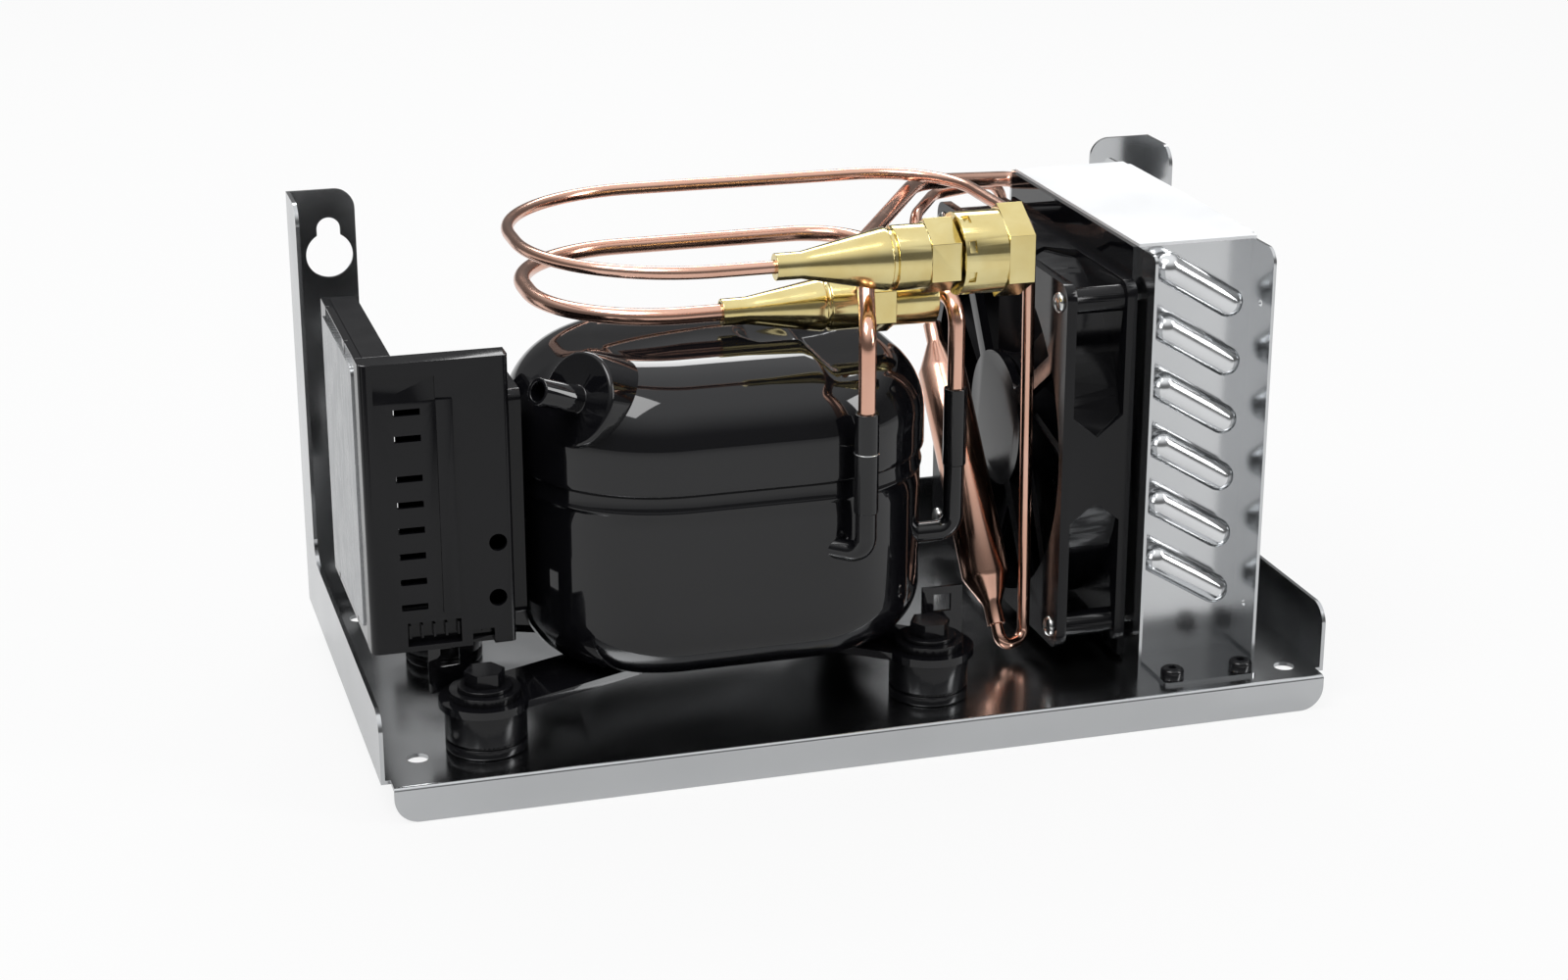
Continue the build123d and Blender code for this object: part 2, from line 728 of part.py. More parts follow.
# ---- condenser ----
rows = [coil_top - i * coil_pitch for i in range(coil_rows)]
coil_holes = [(coil_left, z) for z in rows] + [(coil_right, z - coil_slant) for z in rows]
bend_radius = coil_tube / 2 + 0.3
return_radius = math.hypot(coil_right - coil_left, coil_pitch - coil_slant) / 2 - 0.1
coil_front = plate_front_y - bend_radius - 0.1
coil_end = plate_back_y + 6.0
coil_back = coil_end + return_radius + 1.5
plate_hole_d = coil_tube + 2 * slip_gap
right_flange_front = 19.0
left_flange_front = 21.5
foot_front = 7.4
rear_right_flange = 19.0
rear_left_flange = 7.0
foot_left = plate_left + 5.6
foot_right = plate_right - 4.1
cover_drop = 9.0
cover_sheet = 1.2
shroud_left = fan_left + fan_thickness
plate_notch_d = 3.0


def coil_tubes():
    """Six hairpins: each runs forward, round a slanted bend and back."""
    tubes = []
    for z in rows:
        low = z - coil_slant
        points = [(coil_left, coil_end, z), (coil_left, coil_front, z), (coil_right, coil_front, low),
                  (coil_right, coil_end, low)]
        tubes.append(pipe(points, [bend_radius, bend_radius], coil_tube, coil_wall))
    return tubes


def return_bends():
    """Five bends at the back that join each hairpin to the next."""
    bends = []
    for z in rows[:-1]:
        low = z - coil_slant
        points = [(coil_right, coil_end, low), (coil_right, coil_back, low),
                  (coil_left, coil_back, z - coil_pitch), (coil_left, coil_end, z - coil_pitch)]
        bends.append(pipe(points, [return_radius, return_radius], coil_tube, coil_wall))
    return bends


def coil_bores(y0, y1):
    """The holes for all twelve tubes between two depths."""
    bores = [rod_y(plate_hole_d, x, y0, y1, z) for x, z in coil_holes]
    return Compound(children=bores)


def end_plate(web_front, forward):
    """A channel-shaped end plate; its flanges and foot point forward or back."""
    web_back = web_front + plate_sheet
    right_end = right_flange_front if forward else web_back + rear_right_flange
    left_end = left_flange_front if forward else web_back + rear_left_flange
    foot_end = foot_front if forward else back_face - 2.0
    web = block(plate_left, plate_right, web_front, web_back, 0, plate_height)
    right = block(plate_right - plate_sheet, plate_right,
                  min(right_end, web_front), max(right_end, web_back),
                  0, plate_height)
    left = block(plate_left, plate_left + plate_sheet, min(left_end, web_front), max(left_end, web_back),
                 0, plate_height)
    right = fillet(edges_at(right, Axis.X, Y=right_end, Z=plate_height), 6.0)
    left = fillet(edges_at(left, Axis.X, Y=left_end, Z=plate_height), 3.0)
    foot = block(foot_left, foot_right, min(foot_end, web_front), max(foot_end, web_back), 0, plate_sheet)
    foot = fillet(edges_at(foot, Axis.Z, Y=foot_end), 2.0)
    plate = web + right + left + foot
    for x, y in plate_screws:
        plate -= rod_z(plate_screw_d + slip_gap, x, y, -1, plate_sheet + 1)
    for z in (22.0, 143.0):
        plate -= rod_x(plate_notch_d, plate_right - 4, plate_right + 1, (right_end + web_front) / 2, z)
    return plate - coil_bores(web_front - 1, web_back + 1)


def fins():
    """The stack of thin fins on the tubes."""
    first = plate_front_y + plate_sheet + 1.0
    last = plate_back_y - plate_sheet - 1.0 - fin_sheet
    step = (last - first) / (fin_count - 1)
    sheet_left = plate_left + plate_sheet + 0.5
    sheet_right = plate_right - plate_sheet - 0.5
    stack = []
    for i in range(fin_count):
        y = first + i * step
        fin = block(sheet_left, sheet_right, y, y + fin_sheet, 4.0, plate_height - 2.0)
        for x, z in coil_holes:
            fin -= rod_y(plate_hole_d, x, y - 1, y + 1, z)
        stack.append(fin)
    return stack


def condenser_cover():
    """The top plate over the fins, bent down on the fan side and at the far side."""
    low = plate_height
    high = low + cover_sheet
    cover = block(plate_left, plate_right, plate_front_y - 1.0, plate_back_y + 1.0, low, high)
    right = block(plate_right, plate_right + cover_sheet, plate_front_y + 4, plate_back_y - 4,
                  low - cover_drop, high)
    return cover + right


def fan_shroud():
    """The plate between fan and fins with its round opening."""
    plate = block(shroud_left, plate_left, plate_front_y, plate_back_y, 2.0, plate_height)
    hole = rod_x(duct_d - 6.0, shroud_left - 1, plate_left + 1, fan_y, fan_z)
    plate -= hole
    for y, z in fan_screw_places:
        plate -= rod_x(fan_screw_d + slip_gap, shroud_left - 1, plate_left + 1, y, z)
    return plate


def cap_screw(x, y, head_low, tip):
    """A button-head screw from above with a hexagon socket."""
    head = rod_z(9.0, x, y, head_low, head_low + 4.0)
    head = fillet(head.edges().filter_by(GeomType.CIRCLE).sort_by(Axis.Z)[-1:], 1.5)
    socket = hex_z(3.0, x, y, head_low + 2.0, head_low + 5.0)
    return head - socket + rod_z(plate_screw_d, x, y, tip, head_low)


fan_y = fan_front + fan_size / 2
fan_z = fan_bottom + fan_size / 2
fan_screw_d = 4.0
fan_screw_inset = 7.6
fan_screw_reach = fan_size / 2 - fan_screw_inset
fan_screw_places = [(fan_y + i * fan_screw_reach, fan_z + j * fan_screw_reach)
                    for i in (-1, 1) for j in (-1, 1)]

save("condenser_hairpins", *coil_tubes())
save("condenser_return_bends", *return_bends())
save("condenser_front_plate", end_plate(plate_front_y, True))
save("condenser_rear_plate", end_plate(plate_back_y - plate_sheet, False))
save("condenser_fins", *fins())
save("condenser_cover", condenser_cover())
save("fan_shroud", fan_shroud())
save("condenser_screws", *[cap_screw(x, y, plate_sheet, -sheet - 4.0) for x, y in plate_screws])

# ---- fan ----
fan_right = fan_left + fan_thickness
duct_wall = 3.2
strut_width = 6.5
strut_depth = 3.6
strut_turn = 11.0
base_d = hub_d + 4.0
web_narrow = 13.0
web_wide = 21.0
bearing_d = 8.0
housing_d = 12.0
bearing_left = fan_left + 4.0
bearing_right = fan_left + 19.0
cup_left = fan_left + 6.0
cup_right = fan_right - 2.0
cup_wall = 2.0
magnet_wall = 2.5
blade_chord = 34.0
blade_pitch = 33.0
blade_sheet = 2.0
blade_mid = fan_left + 16.0
fan_motor_d = 36.0


def fan_webs(half):
    """The web at the middle of each side, narrowest half-way between the flanges."""
    middle = (fan_left + fan_right) / 2
    low = fan_left + fan_flange
    high = fan_right - fan_flange
    outline = Polyline((low, -web_wide), (middle, -web_narrow), (high, -web_wide), (high, web_wide),
                       (middle, web_narrow), (low, web_wide), close=True)
    web = Pos(0, 0, duct_d / 2) * extrude(make_face(outline), half - duct_d / 2)
    return [Pos(0, fan_y, fan_z) * Rot(90.0 * i, 0, 0) * web for i in range(4)]


def fan_frame():
    """The square frame: two flanges, the round duct between them, corner posts, struts and motor base."""
    half = fan_size / 2
    frame = rod_x(duct_d + 2 * duct_wall, fan_left, fan_right, fan_y, fan_z)
    for left in (fan_left, fan_right - fan_flange):
        flange = block(left, left + fan_flange, fan_y - half, fan_y + half, fan_z - half, fan_z + half)
        frame += fillet(flange.edges().filter_by(Axis.X), 6.0)
    for y, z in fan_screw_places:
        frame += rod_x(fan_screw_d + 6.0, fan_left, fan_right, y, z)
    frame += fan_webs(half)
    frame -= rod_x(duct_d, fan_left - 1, fan_right + 1, fan_y, fan_z)
    frame += rod_x(base_d, fan_left, fan_left + strut_depth, fan_y, fan_z)
    for i in range(4):
        angle = 45.0 + strut_turn + 90.0 * i
        strut = block(fan_left, fan_left + strut_depth, base_d / 2 - 2.0, duct_d / 2 + 1.0, -strut_width / 2,
                      strut_width / 2)
        frame += Pos(0, fan_y, fan_z) * Rot(angle, 0, 0) * strut
    frame += rod_x(housing_d, fan_left, bearing_right, fan_y, fan_z)
    frame -= rod_x(bearing_d, bearing_left, bearing_right + 1, fan_y, fan_z)
    for y, z in fan_screw_places:
        frame -= rod_x(fan_screw_d + slip_gap, fan_left - 1, fan_right + 1, y, z)
    return frame


def fan_bearing():
    """The bronze sleeve that the fan shaft turns in."""
    sleeve = rod_x(bearing_d, bearing_left, bearing_right, fan_y, fan_z)
    return sleeve - rod_x(fan_shaft_d + 2 * running_gap, bearing_left - 1, bearing_right + 1, fan_y, fan_z)


def fan_motor():
    """The wound stator on the bearing housing."""
    core = rod_x(fan_motor_d, fan_left + 7.0, fan_left + 18.0, fan_y, fan_z)
    return core - rod_x(housing_d, fan_left, fan_right, fan_y, fan_z)


def fan_shaft():
    """The steel shaft fixed in the hub."""
    return rod_x(fan_shaft_d, bearing_left + 0.4, cup_right - cup_wall, fan_y, fan_z)


def fan_impeller():
    """The hub cup and its blades."""
    cup = rod_x(hub_d, cup_left, cup_right, fan_y, fan_z)
    cup = fillet(cup.edges().filter_by(GeomType.CIRCLE).sort_by(Axis.X)[-1:], 2.0)
    cup -= rod_x(hub_d - 2 * cup_wall, cup_left - 1, cup_right - cup_wall, fan_y, fan_z)
    tip = duct_d / 2 - blade_tip_gap
    root = hub_d / 2 - cup_wall / 2
    for i in range(blade_count):
        blade = Box(blade_sheet, blade_chord, tip - root + 6, align=(Align.CENTER, Align.CENTER, Align.MIN))
        blade = Pos(0, 0, root) * Rot(0, 0, blade_pitch) * blade
        cup += Pos(blade_mid, fan_y, fan_z) * Rot(360.0 * i / blade_count, 0, 0) * blade
    outside = rod_x(2 * tip + 60.0, fan_left - 5, fan_right + 5, fan_y, fan_z)
    outside -= rod_x(2 * tip, fan_left - 6, fan_right + 6, fan_y, fan_z)
    cup -= outside
    return cup - rod_x(hub_d - 2 * cup_wall, cup_left - 5, cup_right - cup_wall, fan_y, fan_z)


def fan_magnet():
    """The ring magnet inside the cup."""
    ring = rod_x(hub_d - 2 * cup_wall, cup_left + 1.5, cup_right - cup_wall - 4.0, fan_y, fan_z)
    return ring - rod_x(hub_d - 2 * cup_wall - 2 * magnet_wall, cup_left, cup_right, fan_y, fan_z)


def fan_screw(y, z):
    """A pan-head cross-recess screw through the frame and the shroud."""
    head = rod_x(8.0, fan_left - 2.4, fan_left, y, z)
    head = fillet(head.edges().filter_by(GeomType.CIRCLE).sort_by(Axis.X)[:1], 1.2)
    head -= block(fan_left - 3, fan_left - 1.2, y - 2.2, y + 2.2, z - 0.45, z + 0.45)
    head -= block(fan_left - 3, fan_left - 1.2, y - 0.45, y + 0.45, z - 2.2, z + 2.2)
    return head + rod_x(fan_screw_d, fan_left, plate_left - 0.2, y, z)


save("fan_frame", fan_frame())
save("fan_bearing", fan_bearing())
save("fan_motor", fan_motor())
save("fan_shaft", fan_shaft())
save("fan_impeller", fan_impeller())
save("fan_magnet", fan_magnet())
save("fan_screws", *[fan_screw(y, z) for y, z in fan_screw_places])

# ---- couplings ----
socket_depth = 7.0
cone_start = 9.5
a_left = liquid_coupling_left
a_right = liquid_coupling_right
a_body_right = a_left + 66.0
a_nut_left = a_left + 66.8
b_left = suction_coupling_left
b_right = suction_coupling_right
nut_bore_d = spigot_d + 0.6
nut_lip = 3.4
nut_lip_bore = 17.0
nut_ring = 4.2
nut_hex = 9.6
nut_body_d = 30.0
nut_flats = 30.2
notch_count = 8
poppet_d = 7.0
poppet_stroke = 3.0
chamber_d = 12.0
spring_outer = 10.0
spring_inner = 8.0


def liquid_coupling_body():
    """The female half: solder socket, cone, barrel, spanner flats and the neck that carries the nut."""
    body = turned([(a_left, 4.9), (a_left + cone_start, 4.9), (a_left + 40.0, 11.4), (a_left + 41.0, 11.4),
                   (a_left + 41.4, 10.4), (a_left + 42.8, 10.4), (a_left + 43.2, 11.8), (a_left + 56.0, 11.8),
                   (a_left + 56.0, 10.0), (a_body_right, 10.0), (a_body_right, 8.4),
                   (a_nut_left + nut_lip + 0.4, 8.4), (a_nut_left + nut_lip + 0.4, 10.0),
                   (a_nut_left + nut_lip + 3.4, 10.0)],
                  liquid_coupling_y, liquid_coupling_z)
    body += hex_x(24.0, a_left + 55.0, a_body_right, liquid_coupling_y, liquid_coupling_z)
    body -= rod_x(liquid_tube + slip_gap, a_left - 1, a_left + socket_depth, liquid_coupling_y,
                  liquid_coupling_z)
    body -= rod_x(liquid_tube - 2 * pipe_wall, a_left, a_left + 50, liquid_coupling_y, liquid_coupling_z)
    return body - rod_x(chamber_d, a_left + 46.0, a_right, liquid_coupling_y, liquid_coupling_z)


def liquid_coupling_nut():
    """The union nut: a notched ring, a plain barrel and a hexagon, with a lip behind the neck collar."""
    ring_right = a_nut_left + nut_ring
    nut = rod_x(nut_body_d, ring_right, a_right - nut_hex, liquid_coupling_y, liquid_coupling_z)
    ring = rod_x(nut_body_d, a_nut_left, ring_right, liquid_coupling_y, liquid_coupling_z)
    for i in range(notch_count):
        notch = block(a_nut_left + 1.6, ring_right + 0.6, -2.2, 2.2,
                      nut_body_d / 2 - 1.4, nut_body_d / 2 + 2)
        turn = Rot((i + 0.5) * 360.0 / notch_count, 0, 0)
        ring -= Pos(0, liquid_coupling_y, liquid_coupling_z) * turn * notch
    hexagon = hex_x(nut_flats, a_right - nut_hex, a_right, liquid_coupling_y, liquid_coupling_z)
    nut = nut + ring + hexagon
    nut -= rod_x(nut_lip_bore + 0.4, a_nut_left - 1, a_right + 1, liquid_coupling_y, liquid_coupling_z)
    return nut - rod_x(nut_bore_d, a_nut_left + nut_lip, a_right + 1, liquid_coupling_y, liquid_coupling_z)


def poppet(left, right, y, z, faces_right):
    """A valve poppet: a disc head that seals the mouth and a thin guide stem behind it."""
    if faces_right:
        return rod_x(poppet_d, right - 4.0, right, y, z) + rod_x(2.4, left, right - 4.0, y, z)
    return rod_x(poppet_d, left, left + 4.0, y, z) + rod_x(2.4, left + 4.0, right, y, z)


def spring_tube(left, right, y, z):
    """A closed sleeve the size of the coil spring."""
    return rod_x(spring_outer, left, right, y, z) - rod_x(spring_inner, left - 1, right + 1, y, z)


def seal_ring(middle, inner, outer, y, z):
    """A rubber ring."""
    ring = rod_x(outer, middle - 1.0, middle + 1.0, y, z)
    return ring - rod_x(inner, middle - 2.0, middle + 2.0, y, z)


def suction_coupling_body():
    """The male half: solder socket, cone, barrel, spanner flats and the plain spigot."""
    body = turned([(b_left, 5.1), (b_left + cone_start, 5.1), (b_left + 37.0, 9.9), (b_left + 38.4, 9.9),
                   (b_left + 38.8, 9.2), (b_left + 40.0, 9.2), (b_left + 40.4, 10.0), (b_right, 10.0)],
                  suction_coupling_y, suction_coupling_z)
    body += hex_x(21.5, b_left + 54.8, b_left + 64.6, suction_coupling_y, suction_coupling_z)
    body -= rod_x(suction_tube + slip_gap, b_left - 1, b_left + socket_depth, suction_coupling_y,
                  suction_coupling_z)
    body -= rod_x(suction_tube - 2 * pipe_wall, b_left, b_left + 50, suction_coupling_y, suction_coupling_z)
    return body - rod_x(chamber_d, b_left + 44.0, b_right + 1, suction_coupling_y, suction_coupling_z)


a_mouth = a_nut_left + nut_lip + 3.4
save("liquid_coupling_body", liquid_coupling_body())
save("liquid_coupling_nut", liquid_coupling_nut())
save("liquid_coupling_poppet", poppet(a_left + 52.0, a_mouth - 1.0,
                                      liquid_coupling_y, liquid_coupling_z, True))
save("liquid_coupling_spring", spring_tube(a_left + 46.0, a_mouth - 5.2 - poppet_stroke - 1.4,
                                           liquid_coupling_y, liquid_coupling_z))
save("liquid_coupling_seal", seal_ring(a_mouth - 3.0, poppet_d + 0.3, chamber_d, liquid_coupling_y,
                                       liquid_coupling_z))
save("suction_coupling_body", suction_coupling_body())
save("suction_coupling_poppet", poppet(b_left + 50.0, b_right - 2.0, suction_coupling_y, suction_coupling_z,
                                       True))
save("suction_coupling_spring", spring_tube(b_left + 44.0, b_right - 6.2 - poppet_stroke - 1.4,
                                            suction_coupling_y, suction_coupling_z))
save("suction_coupling_seal", seal_ring(b_right - 4.0, poppet_d + 0.3, chamber_d, suction_coupling_y,
                                        suction_coupling_z))

# ---- filter drier ----
drier_low = Vector(248.5, 65.0, 30.0)
drier_high = Vector(246.5, 115.0, 99.6)
drier_axis = (drier_high - drier_low).normalized()
drier_length = (drier_high - drier_low).length
drier_cone = 12.0
drier_neck = 8.0
drier_neck_d = liquid_tube + 2.4
drier_plane = Plane(origin=drier_low, z_dir=drier_axis)


def drier_form(radius, inset):
    """The drier's outline turned about its axis: two cones, a barrel and two necks."""
    neck = drier_neck_d / 2
    points = [(0, -drier_cone - drier_neck), (neck, -drier_cone - drier_neck), (neck, -drier_cone),
              (radius, 0), (radius, drier_length), (neck, drier_length + drier_cone),
              (neck, drier_length + drier_cone + drier_neck), (0, drier_length + drier_cone + drier_neck)]
    face = make_face(Polyline(*[(x, 0, z) for x, z in points], close=True))
    return drier_plane * revolve(face, Axis.Z)


def drier_bar(diameter, low, high):
    """A round bar on the drier's axis, measured from its lower shoulder."""
    return drier_plane * rod_z(diameter, 0, 0, low, high)


def drier_body():
    """The spun copper body, hollow, with a bore through each neck."""
    body = drier_form(drier_d / 2, 0) - drier_bar(drier_d - 2 * drier_wall, 0, drier_length)
    return body - drier_bar(liquid_tube + slip_gap, -drier_cone - drier_neck - 1,
                            drier_length + drier_cone + drier_neck + 1)


save("drier_body", drier_body())
drier_inside = drier_d - 2 * drier_wall
save("drier_core", drier_bar(drier_inside, 10.0, drier_length - 10.0),
     drier_bar(drier_inside, 8.0, 9.6), drier_bar(drier_inside, drier_length - 9.6, drier_length - 8.0))

# ---- refrigerant pipes ----
pipe_pass_z = 166.0
outlet_pass_z = 157.0
drier_outlet = drier_low - drier_axis * drier_cone
drier_inlet = drier_high + drier_axis * drier_cone
turn_z = 6.5
liquid_rise_x = 259.5
liquid_rise_y = 57.0
loop_left = 69.5
liquid_loop_back = 155.0
suction_loop_left = 78.5
suction_loop_back = 164.0
suction_loop_z = suction_coupling_z


def tuple_of(vector):
    """A vector as a plain point."""
    return (vector.X, vector.Y, vector.Z)


def liquid_pipe():
    """From the drier down, round, up beside the fan and through the wide loop into the coupling."""
    low = drier_low - drier_axis * ((drier_low.Z - turn_z) / drier_axis.Z)
    points = [tuple_of(drier_outlet), tuple_of(low), (liquid_rise_x + 1.0, liquid_rise_y - 3.0, turn_z),
              (liquid_rise_x, liquid_rise_y, liquid_coupling_z),
              (liquid_rise_x - 2.5, liquid_loop_back - 2.0, liquid_coupling_z),
              (loop_left, liquid_loop_back, liquid_coupling_z),
              (loop_left, liquid_coupling_y, liquid_coupling_z),
              (a_left + socket_depth, liquid_coupling_y, liquid_coupling_z)]
    return pipe(points, [4.0, 5.0, 9.0, 38.0, 60.0, 60.0], liquid_tube, pipe_wall)


def suction_pipe():
    """From the coupling round the lower loop and down to the compressor's suction port."""
    points = [(b_left + socket_depth, suction_coupling_y, suction_coupling_z),
              (suction_loop_left, suction_coupling_y, suction_loop_z),
              (suction_loop_left, suction_loop_back, suction_loop_z),
              (suction_riser[0] - 4.0, suction_loop_back + 1.0, suction_loop_z),
              (suction_riser[0], suction_riser[1], suction_loop_z),
              (suction_riser[0], suction_riser[1], suction_port[2]), suction_port]
    return pipe(points, [48.0, 48.0, 28.0, 9.0, elbow_radius], suction_tube, pipe_wall)


def discharge_pipe():
    """From the compressor up, between the two couplings and over the fan to the top of the coil."""
    x, y = discharge_riser
    points = [discharge_port, (x, y, discharge_port[2]), (x, y, 152.5), (200.5, 76.0, pipe_pass_z),
              (250.0, 160.0, pipe_pass_z), (coil_left, coil_end + 14.0, rows[0]),
              (coil_left, coil_end - 4.0, rows[0])]
    return pipe(points, [elbow_radius, 11.0, 30.0, 40.0, 8.0], discharge_tube, pipe_wall)


def outlet_pipe():
    """From the foot of the coil up behind the fan, over its corner and down into the drier."""
    z = rows[-1] - coil_slant
    back = coil_end + 17.0
    points = [(coil_right, coil_end - 4.0, z), (coil_right, back, z), (298.0, back, z),
              (298.0, back, outlet_pass_z), (262.0, 173.0, outlet_pass_z), (238.0, 132.0, outlet_pass_z),
              tuple_of(drier_high + drier_axis * 30.0),
              tuple_of(drier_inlet)]
    line = pipe(points, [9.0, 9.0, 10.0, 14.0, 14.0, 7.0], liquid_tube, pipe_wall)
    collar_d = coil_tube - 2 * coil_wall - slip_gap
    collar = rod_y(collar_d, coil_right, coil_end - 3.0, coil_end, z)
    return line + (collar - rod_y(liquid_tube - 2 * pipe_wall, coil_right, coil_end - 5, coil_end + 1, z))


save("liquid_pipe", liquid_pipe())
save("suction_pipe", suction_pipe())
save("discharge_pipe", discharge_pipe())
save("condenser_outlet_pipe", outlet_pipe())
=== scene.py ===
import json
import math

import bmesh
import bpy
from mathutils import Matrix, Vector


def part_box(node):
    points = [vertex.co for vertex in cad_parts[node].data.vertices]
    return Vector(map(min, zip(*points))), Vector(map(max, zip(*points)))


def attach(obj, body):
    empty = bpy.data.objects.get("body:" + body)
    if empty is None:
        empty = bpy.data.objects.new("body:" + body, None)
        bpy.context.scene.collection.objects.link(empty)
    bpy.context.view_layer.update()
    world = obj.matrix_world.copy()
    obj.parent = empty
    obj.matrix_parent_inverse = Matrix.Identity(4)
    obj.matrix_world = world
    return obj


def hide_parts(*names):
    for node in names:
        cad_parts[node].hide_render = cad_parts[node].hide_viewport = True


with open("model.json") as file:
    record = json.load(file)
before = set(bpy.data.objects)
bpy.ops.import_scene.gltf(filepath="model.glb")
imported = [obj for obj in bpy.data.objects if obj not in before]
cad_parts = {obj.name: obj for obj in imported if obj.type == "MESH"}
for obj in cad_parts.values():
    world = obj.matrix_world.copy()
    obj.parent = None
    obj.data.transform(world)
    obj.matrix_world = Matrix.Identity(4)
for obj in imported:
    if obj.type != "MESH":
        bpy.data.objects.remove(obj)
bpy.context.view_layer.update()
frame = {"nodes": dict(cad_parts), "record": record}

bl_info = {
    "name": "Condensing Unit Looks",
    "version": (1, 0, 0),
    "blender": (4, 5, 0),
    "location": "View3D > Sidebar > Condensing Unit",
    "description": "Finishes a compact refrigeration condensing unit built round its CAD frame",
    "category": "Object",
}

MM = 0.001
SLOTS = {row["node"]: row["material_slot"] for row in frame["record"]["subparts"]}
BODIES = {node: body for body, nodes in frame["record"]["behaviour"]["bodies"].items() for node in nodes}

# Gaps under which a CAD node's loose triangles are joined and its slivers dropped, in metres.
JOIN_GAP = 0.00001
SLIVER = 0.000001

# Angles in degrees over which an edge stays sharp in smooth shading, or is eased.
SHARP_ANGLE = 35.0
SHELL_SHARP_ANGLE = 50.0
EASE_ANGLE = 32.0
EASE_STEPS = 2

# How far the edges of the small pieces are eased, in metres.
EDGE_EASE = {
    "foot_bolts": 0.0005, "foot_nuts": 0.0004, "foot_washers": 0.0003, "rubber_grommets": 0.0006,
    "compressor_process_tube": 0.0004, "discharge_sleeve": 0.0003, "suction_sleeve": 0.0003,
    "control_heat_sink": 0.0004, "condenser_screws": 0.0002,
}
PIPE_EASE = 0.0002

# The coil: the height between a hairpin's two runs, the swell of its bend, and the rear plate's collars.
COIL_SLANT = 15.0 * MM
BEND_SWELL = 1.24
REAR_PLATE_GAP = 2.3 * MM
COLLAR_REACH = 0.5 * MM
COLLAR_LIP = 0.8 * MM
TUBE_SIDES = 40

# The ring on the discharge sleeve: the sleeve's collar radius and the ring's distance under the top.
SLEEVE_COLLAR = 4.43 * MM
RING_DROP = 15.0 * MM

# The plate on the side of the control unit.
PLATE_MARGIN = 5.0 * MM
PLATE_PROUD = 0.35 * MM
PLATE_SINK = 0.1 * MM
PLATE_CORNER = 3.0 * MM
PLATE_CORNER_STEPS = 5

# The flat and the trough pressed in the dome, and how steeply and softly their edges rise.
PAD_START_X = 33.5 * MM
PAD_START_Y = 18.0 * MM
PAD_SLOPE = 1.3
PAD_SOFTNESS = 3.5 * MM
TROUGH_START = 12.0 * MM
TROUGH_RADIUS = 14.0 * MM
TROUGH_WIDTH = 1.35
TROUGH_SLOPE = 1.2
TROUGH_SOFTNESS = 3.0 * MM

# The shell's rings: steps round a corner, up a side, over a shoulder and in to the middle.
SMALLEST_CORNER = 4.0 * MM
CORNER_STEPS = 20
DOME_SIDE_START = 0.6 * MM
DOME_SIDE_STEPS = 8
DOME_SHOULDER_STEPS = 32
POT_SIDE_STEPS = 9
POT_FOOT_STEPS = 16
MIDDLE_STEPS = 34

# Rings at the lap of dome and pot, as (inset, height over the seam) in mm.
DOME_RIM = ((2.6, 6.0), (2.2, 0.5), (1.5, 0.0), (0.5, 0.0), (0.15, 0.2))
POT_LIP = ((0.0, -1.2), (0.3, 0.4), (1.3, 1.0))
POT_LIP_END = (3.0, 8.0)

# The bead round the pot: its drop under the seam, its reach, and its rings as (height, swell) in mm.
BEAD_DROP = 7.0 * MM
BEAD_REACH = 1.5 * MM
BEAD = ((-0.8, 0.25), (-0.2, 0.5), (0.4, 0.55), (0.9, 0.2), (1.4, 0.0))

# Shares of plain white that the camera and the mirrored rays see in the floor and in the world.
FLOOR_SEEN = 0.88
FLOOR_MIRRORED = 0.25
WORLD_SEEN = 1.0
WORLD_MIRRORED = 0.1
FLOOR_COLOR = (0.55, 0.55, 0.55, 1.0)
FLOOR_REACH = 12.0
FLOOR_LEVEL = -0.0002

# Soft boxes: name, place, target, width, height and power in watts.
LAMPS = (
    ("key", (-0.7, -0.4, 1.6), (-0.05, 0.0, 0.1), 1.0, 0.8, 17.0),
    ("back_strip", (0.2, 1.5, 1.5), (0.0, 0.0, 0.1), 1.6, 0.5, 18.0),
    ("right_box", (1.4, -0.9, 0.9), (0.1, 0.0, 0.1), 0.4, 1.0, 11.0),
)

# The camera: its place, its tilt from straight down and its turn in degrees, and its lens in mm.
CAMERA_PLACE = (-0.30985, -1.0199, 0.4493)
CAMERA_TILT = 70.62
CAMERA_TURN = -16.49
CAMERA_LENS = 66.0
CAMERA_SENSOR = 36.0

# The sockets of a colour Mix node.
MIX_A, MIX_B, MIX_RESULT = 6, 7, 2

# Made once and shared: shader groups and materials by name.
GROUPS = {}
FINISHES = {}


# ---- node trees ----

def add(tree, kind, inputs=None, **settings):
    """A new node with its settings made and its inputs given as values or linked sockets."""
    node = tree.nodes.new(kind)
    for name, value in settings.items():
        setattr(node, name, value)
    for name, value in (inputs or {}).items():
        if isinstance(value, bpy.types.NodeSocket):
            tree.links.new(value, node.inputs[name])
        else:
            node.inputs[name].default_value = value
    return node


def new_tree(name, kind, inputs, outputs):
    """A node group with named sockets: (name, socket type, default) in, (name, socket type) out."""
    tree = bpy.data.node_groups.new(name, kind)
    for label, socket, default in inputs:
        made = tree.interface.new_socket(label, in_out="INPUT", socket_type=socket)
        if default is not None:
            made.default_value = default
    for label, socket in outputs:
        tree.interface.new_socket(label, in_out="OUTPUT", socket_type=socket)
    return tree, tree.nodes.new("NodeGroupInput"), tree.nodes.new("NodeGroupOutput")


def combine(tree, a, b, operation="ADD"):
    """The sum, or another result, of two values."""
    return add(tree, "ShaderNodeMath", {0: a, 1: b}, operation=operation).outputs["Value"]


